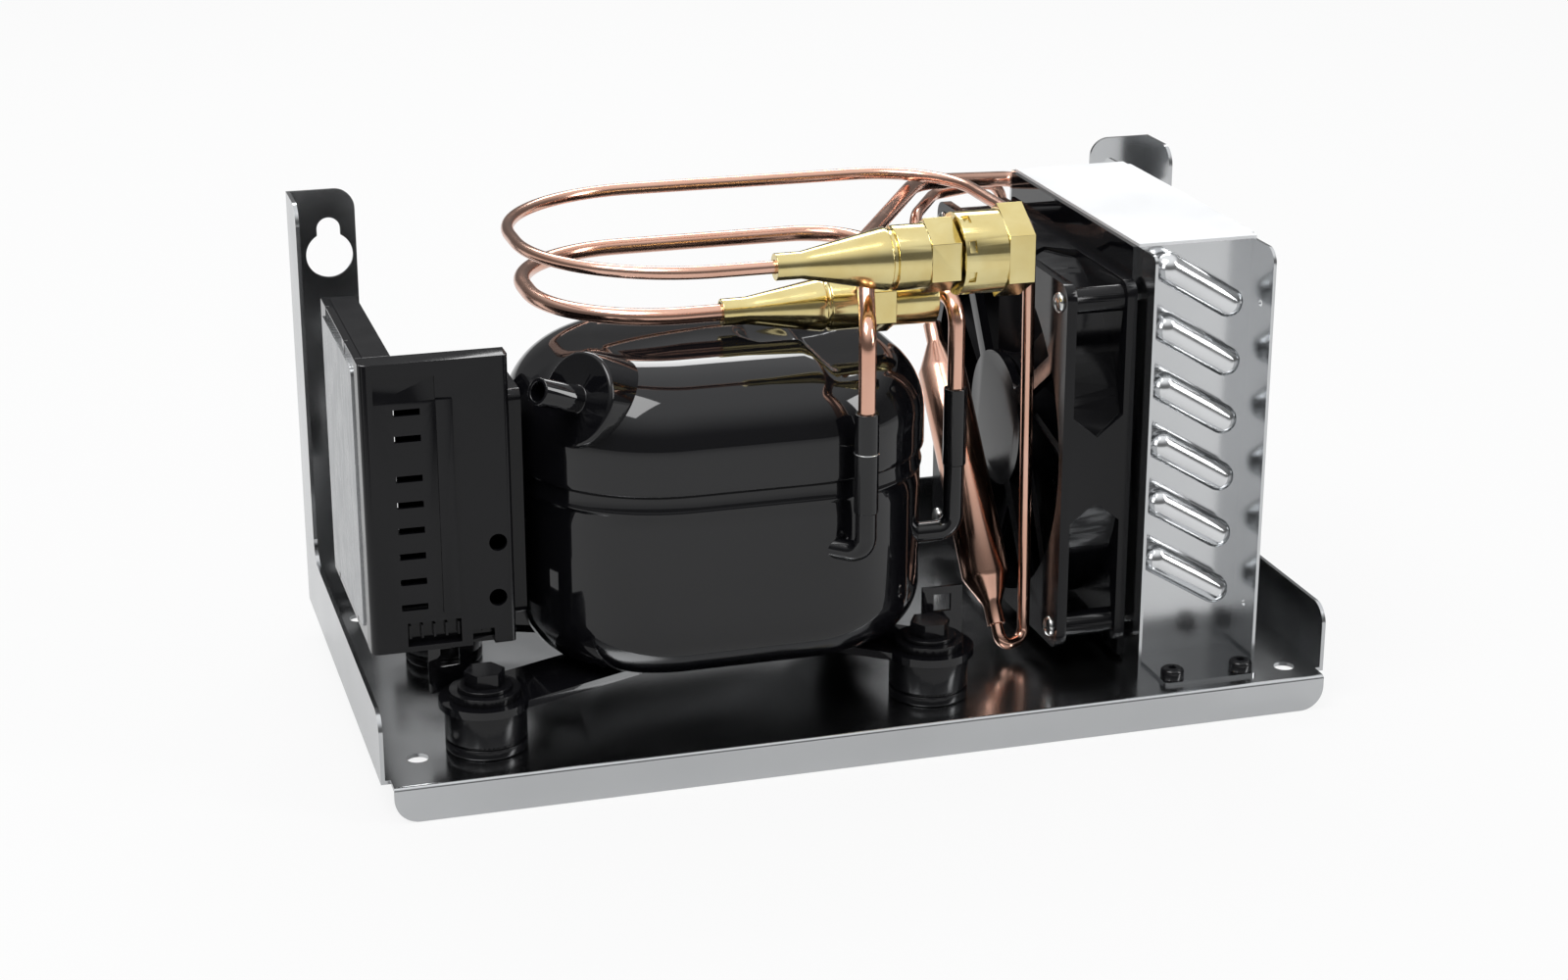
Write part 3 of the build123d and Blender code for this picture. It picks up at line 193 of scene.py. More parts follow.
def spread_noise(tree, noise, start):
    """The middle of a noise stretched over the group's low and high inputs."""
    wide = add(tree, "ShaderNodeMapRange", {
        "Value": noise.outputs["Fac"], "From Min": 0.3, "From Max": 0.7,
        "To Min": start.outputs["Low"], "To Max": start.outputs["High"]})
    return wide.outputs["Result"]


def mottle_group():
    """Soft cloudy variation between a low and a high value."""
    tree, start, end = new_tree("Mottle", "ShaderNodeTree", [
        ("Vector", "NodeSocketVector", None), ("Scale", "NodeSocketFloat", 40.0),
        ("Low", "NodeSocketFloat", 0.0), ("High", "NodeSocketFloat", 1.0)],
        [("Value", "NodeSocketFloat")])
    noise = add(tree, "ShaderNodeTexNoise", {"Vector": start.outputs["Vector"],
                                             "Scale": start.outputs["Scale"], "Detail": 4.0})
    tree.links.new(spread_noise(tree, noise, start), end.inputs["Value"])
    return tree


def grain_group():
    """Fine lines drawn out along one direction, as rolling and brushing leave them."""
    tree, start, end = new_tree("Brushed Grain", "ShaderNodeTree", [
        ("Vector", "NodeSocketVector", None), ("Stretch", "NodeSocketVector", (30.0, 900.0, 900.0)),
        ("Low", "NodeSocketFloat", 0.0), ("High", "NodeSocketFloat", 1.0)],
        [("Value", "NodeSocketFloat"), ("Height", "NodeSocketFloat")])
    place = add(tree, "ShaderNodeVectorMath", {0: start.outputs["Vector"], 1: start.outputs["Stretch"]},
                operation="MULTIPLY")
    noise = add(tree, "ShaderNodeTexNoise", {"Vector": place.outputs["Vector"], "Scale": 1.0,
                                             "Detail": 3.0})
    tree.links.new(spread_noise(tree, noise, start), end.inputs["Value"])
    tree.links.new(noise.outputs["Fac"], end.inputs["Height"])
    return tree


def scuff_group():
    """Sparse thin scuffs that change the gloss."""
    tree, start, end = new_tree("Scuffs", "ShaderNodeTree", [
        ("Vector", "NodeSocketVector", None), ("Scale", "NodeSocketFloat", 60.0),
        ("Amount", "NodeSocketFloat", 0.1)], [("Value", "NodeSocketFloat")])
    warp = add(tree, "ShaderNodeTexNoise", {"Vector": start.outputs["Vector"], "Scale": 25.0,
                                            "Detail": 2.0})
    bent = add(tree, "ShaderNodeMixRGB", {0: 0.04, 1: start.outputs["Vector"], 2: warp.outputs["Color"]})
    cells = add(tree, "ShaderNodeTexVoronoi", {"Vector": bent.outputs[0], "Scale": start.outputs["Scale"]},
                feature="DISTANCE_TO_EDGE")
    line = add(tree, "ShaderNodeMapRange", {"Value": cells.outputs["Distance"], "From Min": 0.0,
                                            "From Max": 0.012, "To Min": 1.0, "To Max": 0.0})
    rare = add(tree, "ShaderNodeTexNoise", {"Vector": start.outputs["Vector"], "Scale": 35.0})
    gate = add(tree, "ShaderNodeMapRange", {"Value": rare.outputs["Fac"], "From Min": 0.58,
                                            "From Max": 0.66})
    both = combine(tree, line.outputs["Result"], gate.outputs["Result"], "MULTIPLY")
    tree.links.new(combine(tree, both, start.outputs["Amount"], "MULTIPLY"), end.inputs["Value"])
    return tree


def turned_group():
    """Tool lines round a turned part whose axis lies along X."""
    tree, start, end = new_tree("Turned Lines", "ShaderNodeTree", [
        ("Vector", "NodeSocketVector", None), ("Pitch", "NodeSocketFloat", 0.0003)],
        [("Height", "NodeSocketFloat")])
    parts = add(tree, "ShaderNodeSeparateXYZ", {"Vector": start.outputs["Vector"]})
    steps = combine(tree, parts.outputs["X"], start.outputs["Pitch"], "DIVIDE")
    line = add(tree, "ShaderNodeTexNoise", {"W": steps, "Scale": 1.0, "Detail": 2.0}, noise_dimensions="1D")
    tree.links.new(line.outputs["Fac"], end.inputs["Height"])
    return tree


def use_group(tree, name, inputs):
    """Places a shared shader group in a material."""
    makers = {"Mottle": mottle_group, "Brushed Grain": grain_group, "Scuffs": scuff_group,
              "Turned Lines": turned_group}
    if name not in GROUPS:
        GROUPS[name] = makers[name]()
    return add(tree, "ShaderNodeGroup", inputs, node_tree=GROUPS[name])


def finish(name, color, roughness, metallic=0.0, stain=None, stain_scale=45.0, mottle=0.06, grain=None,
           grain_depth=0.0, turned=0.0, texture=0.0, texture_scale=900.0, scuffs=0.0, specular=0.5):
    """A procedural finish: cloudy colour and gloss, drawn grain, tool lines, moulded texture and scuffs."""
    if name in FINISHES:
        return FINISHES[name]
    material = FINISHES[name] = bpy.data.materials.new(name)
    material.use_nodes = True
    tree = material.node_tree
    shader = tree.nodes["Principled BSDF"]
    place = add(tree, "ShaderNodeTexCoord").outputs["Object"]
    low, high = roughness
    gloss_scale = stain_scale * 1.7
    gloss = use_group(tree, "Mottle", {"Vector": place, "Scale": gloss_scale, "Low": low, "High": high})
    rough = gloss.outputs["Value"]
    cloud = use_group(tree, "Mottle", {"Vector": place, "Scale": stain_scale, "Low": 0.0, "High": 1.0})
    tint = stain or [channel * (1.0 - mottle) for channel in color]
    mix = add(tree, "ShaderNodeMix", {"Factor": cloud.outputs["Value"], MIX_A: (*color, 1.0),
                                      MIX_B: (*tint, 1.0)}, data_type="RGBA")
    tree.links.new(mix.outputs[MIX_RESULT], shader.inputs["Base Color"])
    height = None
    if grain:
        lines = use_group(tree, "Brushed Grain", {"Vector": place, "Stretch": grain, "Low": -0.05,
                                                  "High": 0.05})
        rough = combine(tree, rough, lines.outputs["Value"])
        height = (lines.outputs["Height"], grain_depth)
    if turned:
        lines = use_group(tree, "Turned Lines", {"Vector": place, "Pitch": turned})
        height = (lines.outputs["Height"], grain_depth)
    if texture:
        bumps = add(tree, "ShaderNodeTexNoise", {"Vector": place, "Scale": texture_scale, "Detail": 2.0})
        height = (bumps.outputs["Fac"], texture)
    if scuffs:
        marks = use_group(tree, "Scuffs", {"Vector": place, "Amount": scuffs})
        rough = combine(tree, rough, marks.outputs["Value"])
    tree.links.new(rough, shader.inputs["Roughness"])
    if height and height[1]:
        bump = add(tree, "ShaderNodeBump", {"Height": height[0], "Strength": 1.0, "Distance": height[1]})
        tree.links.new(bump.outputs["Normal"], shader.inputs["Normal"])
    shader.inputs["Metallic"].default_value = metallic
    shader.inputs["Specular IOR Level"].default_value = specular
    return material


def finishes(looks):
    """Every material of the unit, by the name of its slot or of the piece it is for."""
    zinc = tuple(looks.zinc_color)
    enamel = tuple(looks.enamel_color)
    copper = tuple(looks.copper_color)
    brass = tuple(looks.brass_color)
    plastic = tuple(looks.plastic_color)
    return {
        "galvanised": finish("zinc_sheet", zinc, (0.15, 0.21), 1.0, stain_scale=18.0, mottle=0.05,
                             scuffs=0.05),
        "black_enamel": finish("gloss_enamel", enamel, (0.03, 0.05), stain_scale=40.0,
                               texture=0.0000015, texture_scale=110.0, scuffs=0.02),
        "rubber": finish("moulded_rubber", (0.005, 0.005, 0.006), (0.16, 0.24), texture=0.000002,
                         texture_scale=700.0, specular=0.35),
        "zinc_hardware": finish("plated_hardware", (0.66, 0.66, 0.65), (0.14, 0.24), 1.0,
                                grain=(500.0, 500.0, 500.0), grain_depth=0.000003, scuffs=0.1),
        "black_hardware": finish("black_oxide", (0.006, 0.006, 0.007), (0.12, 0.22), scuffs=0.1,
                                 specular=0.35),
        "copper": finish("drawn_copper", copper, (0.14, 0.24), 1.0,
                         stain=(copper[0] * 0.88, copper[1] * 0.78, copper[2] * 0.72), stain_scale=26.0,
                         scuffs=0.08),
        "brass": finish("turned_brass", brass, (0.13, 0.2), 1.0,
                        stain=(brass[0] * 0.9, brass[1] * 0.84, brass[2] * 0.7), stain_scale=70.0,
                        turned=0.00025, grain_depth=0.000004, scuffs=0.06),
        "aluminium": finish("mill_aluminium", (0.80, 0.81, 0.82), (0.18, 0.28), 1.0,
                            grain=(900.0, 40.0, 900.0), grain_depth=0.000003, scuffs=0.05),
        "black_plastic": finish("satin_plastic", plastic, (0.12, 0.2), texture=0.000003,
                                texture_scale=1300.0, specular=0.28, scuffs=0.05),
        "matt_plastic": finish("matt_plastic", plastic, (0.3, 0.4), texture=0.000006, specular=0.14),
        "circuit_board": finish("green_laminate", (0.03, 0.20, 0.08), (0.3, 0.4),
                                grain=(600.0, 1200.0, 600.0), grain_depth=0.00001),
        "steel": finish("machined_steel", (0.56, 0.57, 0.58), (0.18, 0.3), 1.0,
                        grain=(1100.0, 1100.0, 90.0), grain_depth=0.000004, scuffs=0.05),
        "lamination": finish("stacked_laminations", (0.30, 0.31, 0.33), (0.35, 0.5), 1.0,
                             grain=(20.0, 20.0, 2600.0), grain_depth=0.00002),
        "winding_copper": finish("enamelled_wire", (0.50, 0.19, 0.07), (0.25, 0.4), 0.8,
                                 grain=(300.0, 300.0, 1800.0), grain_depth=0.00006),
        "cast_iron": finish("sand_cast_iron", (0.20, 0.20, 0.21), (0.5, 0.65), 0.9, texture=0.0001,
                            texture_scale=700.0),
        "spring_steel": finish("spring_wire", (0.45, 0.46, 0.48), (0.25, 0.35), 1.0,
                               grain=(200.0, 200.0, 1500.0), grain_depth=0.00003),
        "magnet": finish("sintered_magnet", (0.09, 0.09, 0.10), (0.5, 0.6), 0.4, texture=0.00005,
                         texture_scale=1100.0),
        "seal_rubber": finish("ring_rubber", (0.02, 0.02, 0.02), (0.3, 0.4), texture=0.00001),
        "beads": finish("drier_beads", (0.78, 0.70, 0.56), (0.6, 0.7), texture=0.0006,
                        texture_scale=420.0),
        "end_plate": finish("bright_sheet", (0.62, 0.63, 0.64), (0.14, 0.22), 1.0, stain_scale=16.0,
                            scuffs=0.04),
        "cover_sheet": finish("white_sheet", (0.80, 0.81, 0.82), (0.3, 0.4), 0.15, stain_scale=15.0,
                              mottle=0.03, scuffs=0.05),
        "tube_aluminium": finish("polished_tube", (0.76, 0.77, 0.78), (0.14, 0.2), 1.0, scuffs=0.03),
        "side_plate": finish("brushed_side_plate", (0.40, 0.41, 0.42), (0.26, 0.34), 1.0,
                             grain=(900.0, 900.0, 40.0), grain_depth=0.000001, scuffs=0.05),
    }


# ---- meshes ----

def to_mesh(obj):
    """Turns an object and its modifiers into a plain mesh object under the same name."""
    graph = bpy.context.evaluated_depsgraph_get()
    mesh = bpy.data.meshes.new_from_object(obj.evaluated_get(graph), preserve_all_data_layers=True,
                                           depsgraph=graph)
    name = obj.name
    bpy.data.objects.remove(obj)
    return link(name, mesh)


def link(name, mesh):
    """A new object at the origin."""
    obj = bpy.data.objects.new(name, mesh)
    bpy.context.scene.collection.objects.link(obj)
    return obj


def shade(mesh, angle=SHARP_ANGLE):
    """Smooth shading with sharp edges kept above an angle in degrees."""
    mesh.polygons.foreach_set("use_smooth", [True] * len(mesh.polygons))
    mesh.set_sharp_from_angle(angle=math.radians(angle))


def merged(node):
    """A bmesh copy of a CAD node with its loose triangles joined."""
    work = bmesh.new()
    work.from_mesh(frame["nodes"][node].data)
    bmesh.ops.remove_doubles(work, verts=work.verts, dist=JOIN_GAP)
    return work


def islands(node):
    """The boxes of the separate solids in a CAD node, as (lowest, highest) corners."""
    work = merged(node)
    left = set(work.verts)
    boxes = []
    while left:
        stack = [left.pop()]
        points = []
        while stack:
            vert = stack.pop()
            points.append(vert.co.copy())
            for edge in vert.link_edges:
                other = edge.other_vert(vert)
                if other in left:
                    left.discard(other)
                    stack.append(other)
        low = Vector([min(p[i] for p in points) for i in range(3)])
        high = Vector([max(p[i] for p in points) for i in range(3)])
        boxes.append((low, high))
    work.free()
    return sorted(boxes, key=lambda box: tuple(round(c, 4) for c in box[0]))


def join_on(obj, material, node):
    """Gives a piece its material, and the body of the CAD node it belongs to."""
    obj.data.materials.clear()
    obj.data.materials.append(material)
    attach(obj, BODIES[node])


def stand_for(obj, material, node):
    """Joins a finished piece on a CAD node and lets it stand for that node."""
    join_on(obj, material, node)
    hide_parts(node)


def eased(node, width, material):
    """A copy of a CAD node with its edges eased as folding, moulding or turning leaves them."""
    work = merged(node)
    bmesh.ops.dissolve_degenerate(work, edges=work.edges, dist=SLIVER)
    mesh = bpy.data.meshes.new(node + "_eased")
    work.to_mesh(mesh)
    work.free()
    obj = link(node + "_eased", mesh)
    shade(mesh, EASE_ANGLE)
    bevel = obj.modifiers.new("ease", "BEVEL")
    bevel.width = width
    bevel.segments = EASE_STEPS
    bevel.limit_method = "ANGLE"
    bevel.angle_limit = math.radians(EASE_ANGLE)
    bevel.use_clamp_overlap = True
    bevel.harden_normals = True
    stand_for(to_mesh(obj), material, node)


def paint(node, material):
    """Puts a finish on a CAD node that keeps its own shape."""
    mesh = frame["nodes"][node].data
    mesh.materials.clear()
    mesh.materials.append(material)


# ---- geometry node parts ----

def run_tree(name, tree, points, settings):
    """Runs a geometry tree on a cloud of points and returns the plain mesh object."""
    mesh = bpy.data.meshes.new(name)
    mesh.from_pydata([tuple(point) for point in points], [], [])
    obj = link(name, mesh)
    modifier = obj.modifiers.new("build", "NODES")
    modifier.node_group = tree
    for item in tree.interface.items_tree:
        if item.item_type == "SOCKET" and item.in_out == "INPUT" and item.name in settings:
            modifier[item.identifier] = settings[item.name]
    obj = to_mesh(obj)
    if not obj.data.polygons:
        raise RuntimeError(name + " came out empty")
    shade(obj.data)
    return obj


def geometry_tree(name, inputs):
    """A geometry tree that takes points and named sizes."""
    sockets = [("Geometry", "NodeSocketGeometry", None), *inputs, ("Material", "NodeSocketMaterial", None)]
    return new_tree(name, "GeometryNodeTree", sockets, [("Geometry", "NodeSocketGeometry")])


def close_tree(tree, start, end, part, turn):
    """Sets a part on every point, turns it, and ends the tree."""
    placed = add(tree, "GeometryNodeInstanceOnPoints", {"Points": start.outputs["Geometry"],
                                                        "Instance": part, "Rotation": turn})
    real = add(tree, "GeometryNodeRealizeInstances", {"Geometry": placed.outputs["Instances"]})
    painted = add(tree, "GeometryNodeSetMaterial", {"Geometry": real.outputs["Geometry"],
                                                    "Material": start.outputs["Material"]})
    tree.links.new(painted.outputs["Geometry"], end.inputs["Geometry"])
    return tree


def collar_tree():
    """A ring of round section on every point: the tube collars and the sleeve's ring."""
    tree, start, end = geometry_tree("Tube Collars", [
        ("Radius", "NodeSocketFloat", 0.0044), ("Lip", "NodeSocketFloat", 0.0008),
        ("Turn", "NodeSocketVector", (math.pi / 2, 0.0, 0.0))])
    ring = add(tree, "GeometryNodeCurvePrimitiveCircle", {"Resolution": 36,
                                                          "Radius": start.outputs["Radius"]})
    lip = add(tree, "GeometryNodeCurvePrimitiveCircle", {"Resolution": 10, "Radius": start.outputs["Lip"]})
    tube = add(tree, "GeometryNodeCurveToMesh", {"Curve": ring.outputs["Curve"],
                                                 "Profile Curve": lip.outputs["Curve"]})
    return close_tree(tree, start, end, tube.outputs["Mesh"], start.outputs["Turn"])


def hairpin_tree():
    """Two tubes that run back from the ends of a slanted bend with round shoulders."""
    tree, start, end = geometry_tree("Hairpins", [
        ("Radius", "NodeSocketFloat", 0.0047), ("Bend Radius", "NodeSocketFloat", 0.005),
        ("Half Span", "NodeSocketFloat", 0.0125), ("Half Drop", "NodeSocketFloat", 0.0075),
        ("Length", "NodeSocketFloat", 0.14), ("Turn", "NodeSocketVector", (0.0, 0.0, 0.0))])
    half_x = start.outputs["Half Span"]
    half_z = start.outputs["Half Drop"]
    minus_x = combine(tree, half_x, -1.0, "MULTIPLY")
    minus_z = combine(tree, half_z, -1.0, "MULTIPLY")
    joined = tree.nodes.new("GeometryNodeJoinGeometry")
    high_end = add(tree, "ShaderNodeCombineXYZ", {"X": minus_x, "Z": half_z}).outputs["Vector"]
    low_end = add(tree, "ShaderNodeCombineXYZ", {"X": half_x, "Z": minus_z}).outputs["Vector"]
    line = add(tree, "GeometryNodeCurvePrimitiveLine", {"Start": high_end, "End": low_end})
    ring = add(tree, "GeometryNodeCurvePrimitiveCircle", {"Resolution": TUBE_SIDES,
                                                          "Radius": start.outputs["Bend Radius"]})
    bar = add(tree, "GeometryNodeCurveToMesh", {"Curve": line.outputs["Curve"],
                                                "Profile Curve": ring.outputs["Curve"]})
    tree.links.new(bar.outputs["Mesh"], joined.inputs["Geometry"])
    for x, z in ((minus_x, half_z), (half_x, minus_z)):
        ball = add(tree, "GeometryNodeMeshUVSphere", {"Segments": TUBE_SIDES, "Rings": 24,
                                                      "Radius": start.outputs["Bend Radius"]})
        place = add(tree, "ShaderNodeCombineXYZ", {"X": x, "Z": z})
        moved = add(tree, "GeometryNodeTransform", {"Geometry": ball.outputs["Mesh"],
                                                    "Translation": place.outputs["Vector"]})
        tree.links.new(moved.outputs["Geometry"], joined.inputs["Geometry"])
        tube = add(tree, "GeometryNodeMeshCylinder", {"Vertices": TUBE_SIDES,
                                                      "Radius": start.outputs["Radius"],
                                                      "Depth": start.outputs["Length"]})
        half_way = combine(tree, start.outputs["Length"], 0.5, "MULTIPLY")
        back = add(tree, "ShaderNodeCombineXYZ", {"X": x, "Y": half_way, "Z": z})
        laid = add(tree, "GeometryNodeTransform", {"Geometry": tube.outputs["Mesh"],
                                                   "Translation": back.outputs["Vector"],
                                                   "Rotation": (math.pi / 2, 0.0, 0.0)})
        tree.links.new(laid.outputs["Geometry"], joined.inputs["Geometry"])
    return close_tree(tree, start, end, joined.outputs["Geometry"], start.outputs["Turn"])


def cross_screw_tree():
    """Screws with a domed head, a cross recess and a plain shank."""
    tree, start, end = geometry_tree("Cross Screws", [
        ("Radius", "NodeSocketFloat", 0.004), ("Height", "NodeSocketFloat", 0.0024),
        ("Slot", "NodeSocketFloat", 0.0011), ("Shank Radius", "NodeSocketFloat", 0.002),
        ("Shank Length", "NodeSocketFloat", 0.02), ("Turn", "NodeSocketVector", (0.0, 0.0, 0.0))])
    ball = add(tree, "GeometryNodeMeshUVSphere", {"Segments": 28, "Rings": 16, "Radius": 1.0})
    size = add(tree, "ShaderNodeCombineXYZ", {"X": start.outputs["Radius"], "Y": start.outputs["Radius"],
                                              "Z": start.outputs["Height"]})
    dome = add(tree, "GeometryNodeTransform", {"Geometry": ball.outputs["Mesh"],
                                               "Scale": size.outputs["Vector"]})
    long_side = combine(tree, start.outputs["Radius"], 1.15, "MULTIPLY")
    slot_middle = combine(tree, start.outputs["Height"], 1.05, "MULTIPLY")
    raised = add(tree, "ShaderNodeCombineXYZ", {"Z": slot_middle})
    slots = []
    for first, second in (("X", "Y"), ("Y", "X")):
        side = add(tree, "ShaderNodeCombineXYZ", {first: long_side, second: start.outputs["Slot"],
                                                  "Z": start.outputs["Height"]})
        cube = add(tree, "GeometryNodeMeshCube", {"Size": side.outputs["Vector"]})
        slots.append(add(tree, "GeometryNodeTransform", {"Geometry": cube.outputs["Mesh"],
                                                         "Translation": raised.outputs["Vector"]}))
    cut = add(tree, "GeometryNodeMeshBoolean", {"Mesh 1": dome.outputs["Geometry"]}, operation="DIFFERENCE")
    for slot in slots:
        tree.links.new(slot.outputs["Geometry"], cut.inputs["Mesh 2"])
    bar = add(tree, "GeometryNodeMeshCylinder", {"Vertices": 24, "Radius": start.outputs["Shank Radius"],
                                                 "Depth": start.outputs["Shank Length"]})
    half_down = combine(tree, start.outputs["Shank Length"], -0.5, "MULTIPLY")
    down = add(tree, "ShaderNodeCombineXYZ", {"Z": half_down})
    shank = add(tree, "GeometryNodeTransform", {"Geometry": bar.outputs["Mesh"],
                                                "Translation": down.outputs["Vector"]})
    joined = tree.nodes.new("GeometryNodeJoinGeometry")
    tree.links.new(cut.outputs["Mesh"], joined.inputs["Geometry"])
    tree.links.new(shank.outputs["Geometry"], joined.inputs["Geometry"])
    return close_tree(tree, start, end, joined.outputs["Geometry"], start.outputs["Turn"])


# ---- compressor shell ----

def smooth_min(a, b, soft):
    """The lower of two values with a rounded change from one to the other."""
    blend = max(soft - abs(a - b), 0.0) / soft
    return min(a, b) - blend * blend * soft * 0.25


def outline(half_x, half_y, corner):
    """Points round a rounded rectangle, with the same count on every ring."""
    points = []
    runs = ((1, 1, 0.0), (-1, 1, 90.0), (-1, -1, 180.0), (1, -1, 270.0))
    for index, (side_x, side_y, begin) in enumerate(runs):
        for i in range(CORNER_STEPS + 1):
            angle = math.radians(begin + 90.0 * i / CORNER_STEPS)
            points.append((side_x * (half_x - corner) + corner * math.cos(angle),
                           side_y * (half_y - corner) + corner * math.sin(angle)))
        next_x, next_y, next_begin = runs[(index + 1) % 4]
        angle = math.radians(next_begin)
        goal = (next_x * (half_x - corner) + corner * math.cos(angle),
                next_y * (half_y - corner) + corner * math.sin(angle))
        last = points[-1]
        for i in range(1, CORNER_STEPS):
            t = i / CORNER_STEPS
            points.append((last[0] + (goal[0] - last[0]) * t, last[1] + (goal[1] - last[1]) * t))
    return points


def loft(name, rings, from_middle):
    """A mesh through rings of equal count, closed in the middle of its first or of its last ring."""
    verts = [point for ring in rings for point in ring]
    count = len(rings[0])
    faces = []
    for r in range(len(rings) - 1):
        for i in range(count):
            j = (i + 1) % count
            faces.append((r * count + i, r * count + j, (r + 1) * count + j, (r + 1) * count + i))
    closed = 0 if from_middle else len(rings) - 1
    verts.append(tuple(sum(point[k] for point in rings[closed]) / count for k in range(3)))
    for i in range(count):
        face = (closed * count + i, closed * count + (i + 1) % count, len(verts) - 1)
        faces.append(face[::-1] if from_middle else face)
    mesh = bpy.data.meshes.new(name)
    mesh.from_pydata(verts, [], faces)
    mesh.validate()
    return link(name, mesh)


class ShellShape:
    """The pressed shell: overall size from its CAD nodes, radii from the settings."""

    def __init__(self, looks):
        low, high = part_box("compressor_upper_shell")
        self.x = (low[0] + high[0]) / 2
        self.y = (low[1] + high[1]) / 2
        self.half_x = (high[0] - low[0]) / 2
        self.half_y = (high[1] - low[1]) / 2
        self.top = high[2]
        self.seam = low[2]
        self.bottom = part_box("compressor_lower_shell")[0][2]
        self.corner = looks.shell_corner
        self.dome = looks.dome_radius
        self.foot = looks.pot_radius
        self.crown = looks.dome_crown
        self.lap = looks.seam_step
        self.pad_left = self.x + PAD_START_X
        self.pad_back = self.y + PAD_START_Y
        self.pad_z = self.top - looks.pad_depth
        low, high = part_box("suction_coupling_body")
        self.trough_x = low[0] + TROUGH_START
        self.trough_y = (low[1] + high[1]) / 2
        self.trough_z = (low[2] + high[2]) / 2

    def ring(self, inset, z, shrink=1.0):
        """One ring of the shell at a height, pressed down where the pad and trough are."""
        corner = max(self.corner - inset, SMALLEST_CORNER)
        points = outline(self.half_x - inset, self.half_y - inset, corner)
        return [self.pressed(self.x + px * shrink, self.y + py * shrink, z) for px, py in points]

    def pressed(self, x, y, z):
        """A point of the dome after the pad and the trough are pressed in."""
        out = max(self.pad_left - x, 0.0) + max(y - self.pad_back, 0.0)
        z = smooth_min(z, self.pad_z + out * PAD_SLOPE, PAD_SOFTNESS)
        across = y - self.trough_y
        before = max(self.trough_x - x, 0.0)
        bottom = self.trough_z - TROUGH_RADIUS
        limit = bottom + across * across / (TROUGH_WIDTH * TROUGH_RADIUS) + before * TROUGH_SLOPE
        return (x, y, smooth_min(z, limit, TROUGH_SOFTNESS))


def upper_shell(shape):
    """The dome, from the inside of its lower rim over the rim and up to the crown."""
    rings = [shape.ring(inset * MM, shape.seam + height * MM) for inset, height in DOME_RIM]
    spring = shape.top - shape.dome
    side = spring - shape.seam - DOME_SIDE_START
    for i in range(DOME_SIDE_STEPS):
        rings.append(shape.ring(0.0, shape.seam + DOME_SIDE_START + side * i / DOME_SIDE_STEPS))
    rise = shape.dome - shape.crown
    for i in range(DOME_SHOULDER_STEPS + 1):
        angle = math.pi / 2 * i / DOME_SHOULDER_STEPS
        rings.append(shape.ring(shape.dome * (1 - math.cos(angle)), spring + rise * math.sin(angle)))
    for i in range(1, MIDDLE_STEPS):
        shrink = 1.0 - i / MIDDLE_STEPS
        rings.append(shape.ring(shape.dome, shape.top - shape.crown * shrink * shrink, shrink))
    obj = loft("shell_dome", rings, from_middle=False)
    shade(obj.data, SHELL_SHARP_ANGLE)
    return obj


def lower_shell(shape):
    """The pot: a rounded foot, straight sides, a shallow bead and a lip inside the dome."""
    step = shape.lap
    rings = [shape.ring(shape.foot + step, shape.bottom, i / MIDDLE_STEPS) for i in range(1, MIDDLE_STEPS)]
    for i in range(POT_FOOT_STEPS + 1):
        angle = math.pi / 2 * i / POT_FOOT_STEPS
        rings.append(shape.ring(step + shape.foot * (1 - math.sin(angle)),
                                shape.bottom + shape.foot * (1 - math.cos(angle))))
    start = shape.bottom + shape.foot
    bead = shape.seam - BEAD_DROP
    for i in range(1, POT_SIDE_STEPS + 1):
        rings.append(shape.ring(step, start + (bead - BEAD_REACH - start) * i / POT_SIDE_STEPS))
    rings += [shape.ring(step - swell * MM, bead + height * MM) for height, swell in BEAD]
    rings += [shape.ring(step + inset * MM, shape.seam + height * MM) for inset, height in POT_LIP]
    inset, height = POT_LIP_END
    rings.append(shape.ring(inset * MM, shape.seam + height * MM))
    obj = loft("shell_pot", rings, from_middle=True)
    shade(obj.data, SHELL_SHARP_ANGLE)
    return obj


# ---- settings ----

def color_property(name, description, default):
    """A colour that the panel shows."""
    return bpy.props.FloatVectorProperty(name=name, description=description, subtype="COLOR", size=3,
                                         min=0.0, max=1.0, default=default)


def length_property(name, description, default):
    """A length in metres that the panel shows in the scene's unit."""
    return bpy.props.FloatProperty(name=name, description=description, default=default, min=0.0,
                                   subtype="DISTANCE", unit="LENGTH", precision=4)


class UnitLooks(bpy.types.PropertyGroup):
    """Colours and sizes of the condensing unit's finish."""

    zinc_color: color_property("Zinc sheet", "Colour of the folded tray", (0.56, 0.57, 0.58))
    enamel_color: color_property("Enamel", "Colour of the compressor's enamel", (0.004, 0.004, 0.005))
    copper_color: color_property("Copper", "Colour of the clean copper tube", (0.82, 0.52, 0.41))
    brass_color: color_property("Brass", "Colour of the turned brass", (0.80, 0.69, 0.35))
    plastic_color: color_property("Plastic", "Colour of the black mouldings", (0.004, 0.004, 0.005))
    shell_corner: length_property("Shell corner", "Corner radius of the shell seen from above", 0.054)
    dome_radius: length_property("Dome radius", "Radius from the side of the dome to its top", 0.033)
    pot_radius: length_property("Pot radius", "Radius from the side of the pot to its base", 0.020)
    dome_crown: length_property("Crown", "Rise of the dome's middle over its shoulder", 0.0028)
    pad_depth: length_property("Pad depth", "Depth of the flat pressed in the dome", 0.010)
    seam_step: length_property("Seam step", "How far the dome stands proud of the pot", 0.0013)
    sheet_ease: length_property("Sheet ease", "Rounding of the bracket's edges", 0.0005)
    brass_ease: length_property("Brass ease", "Rounding of the turned edges", 0.0004)
    moulded_ease: length_property("Moulded ease", "Rounding of the moulded edges", 0.0006)


def looks_of(context):
    """The settings of this scene."""
    return context.scene.condensing_unit


# ---- operators ----

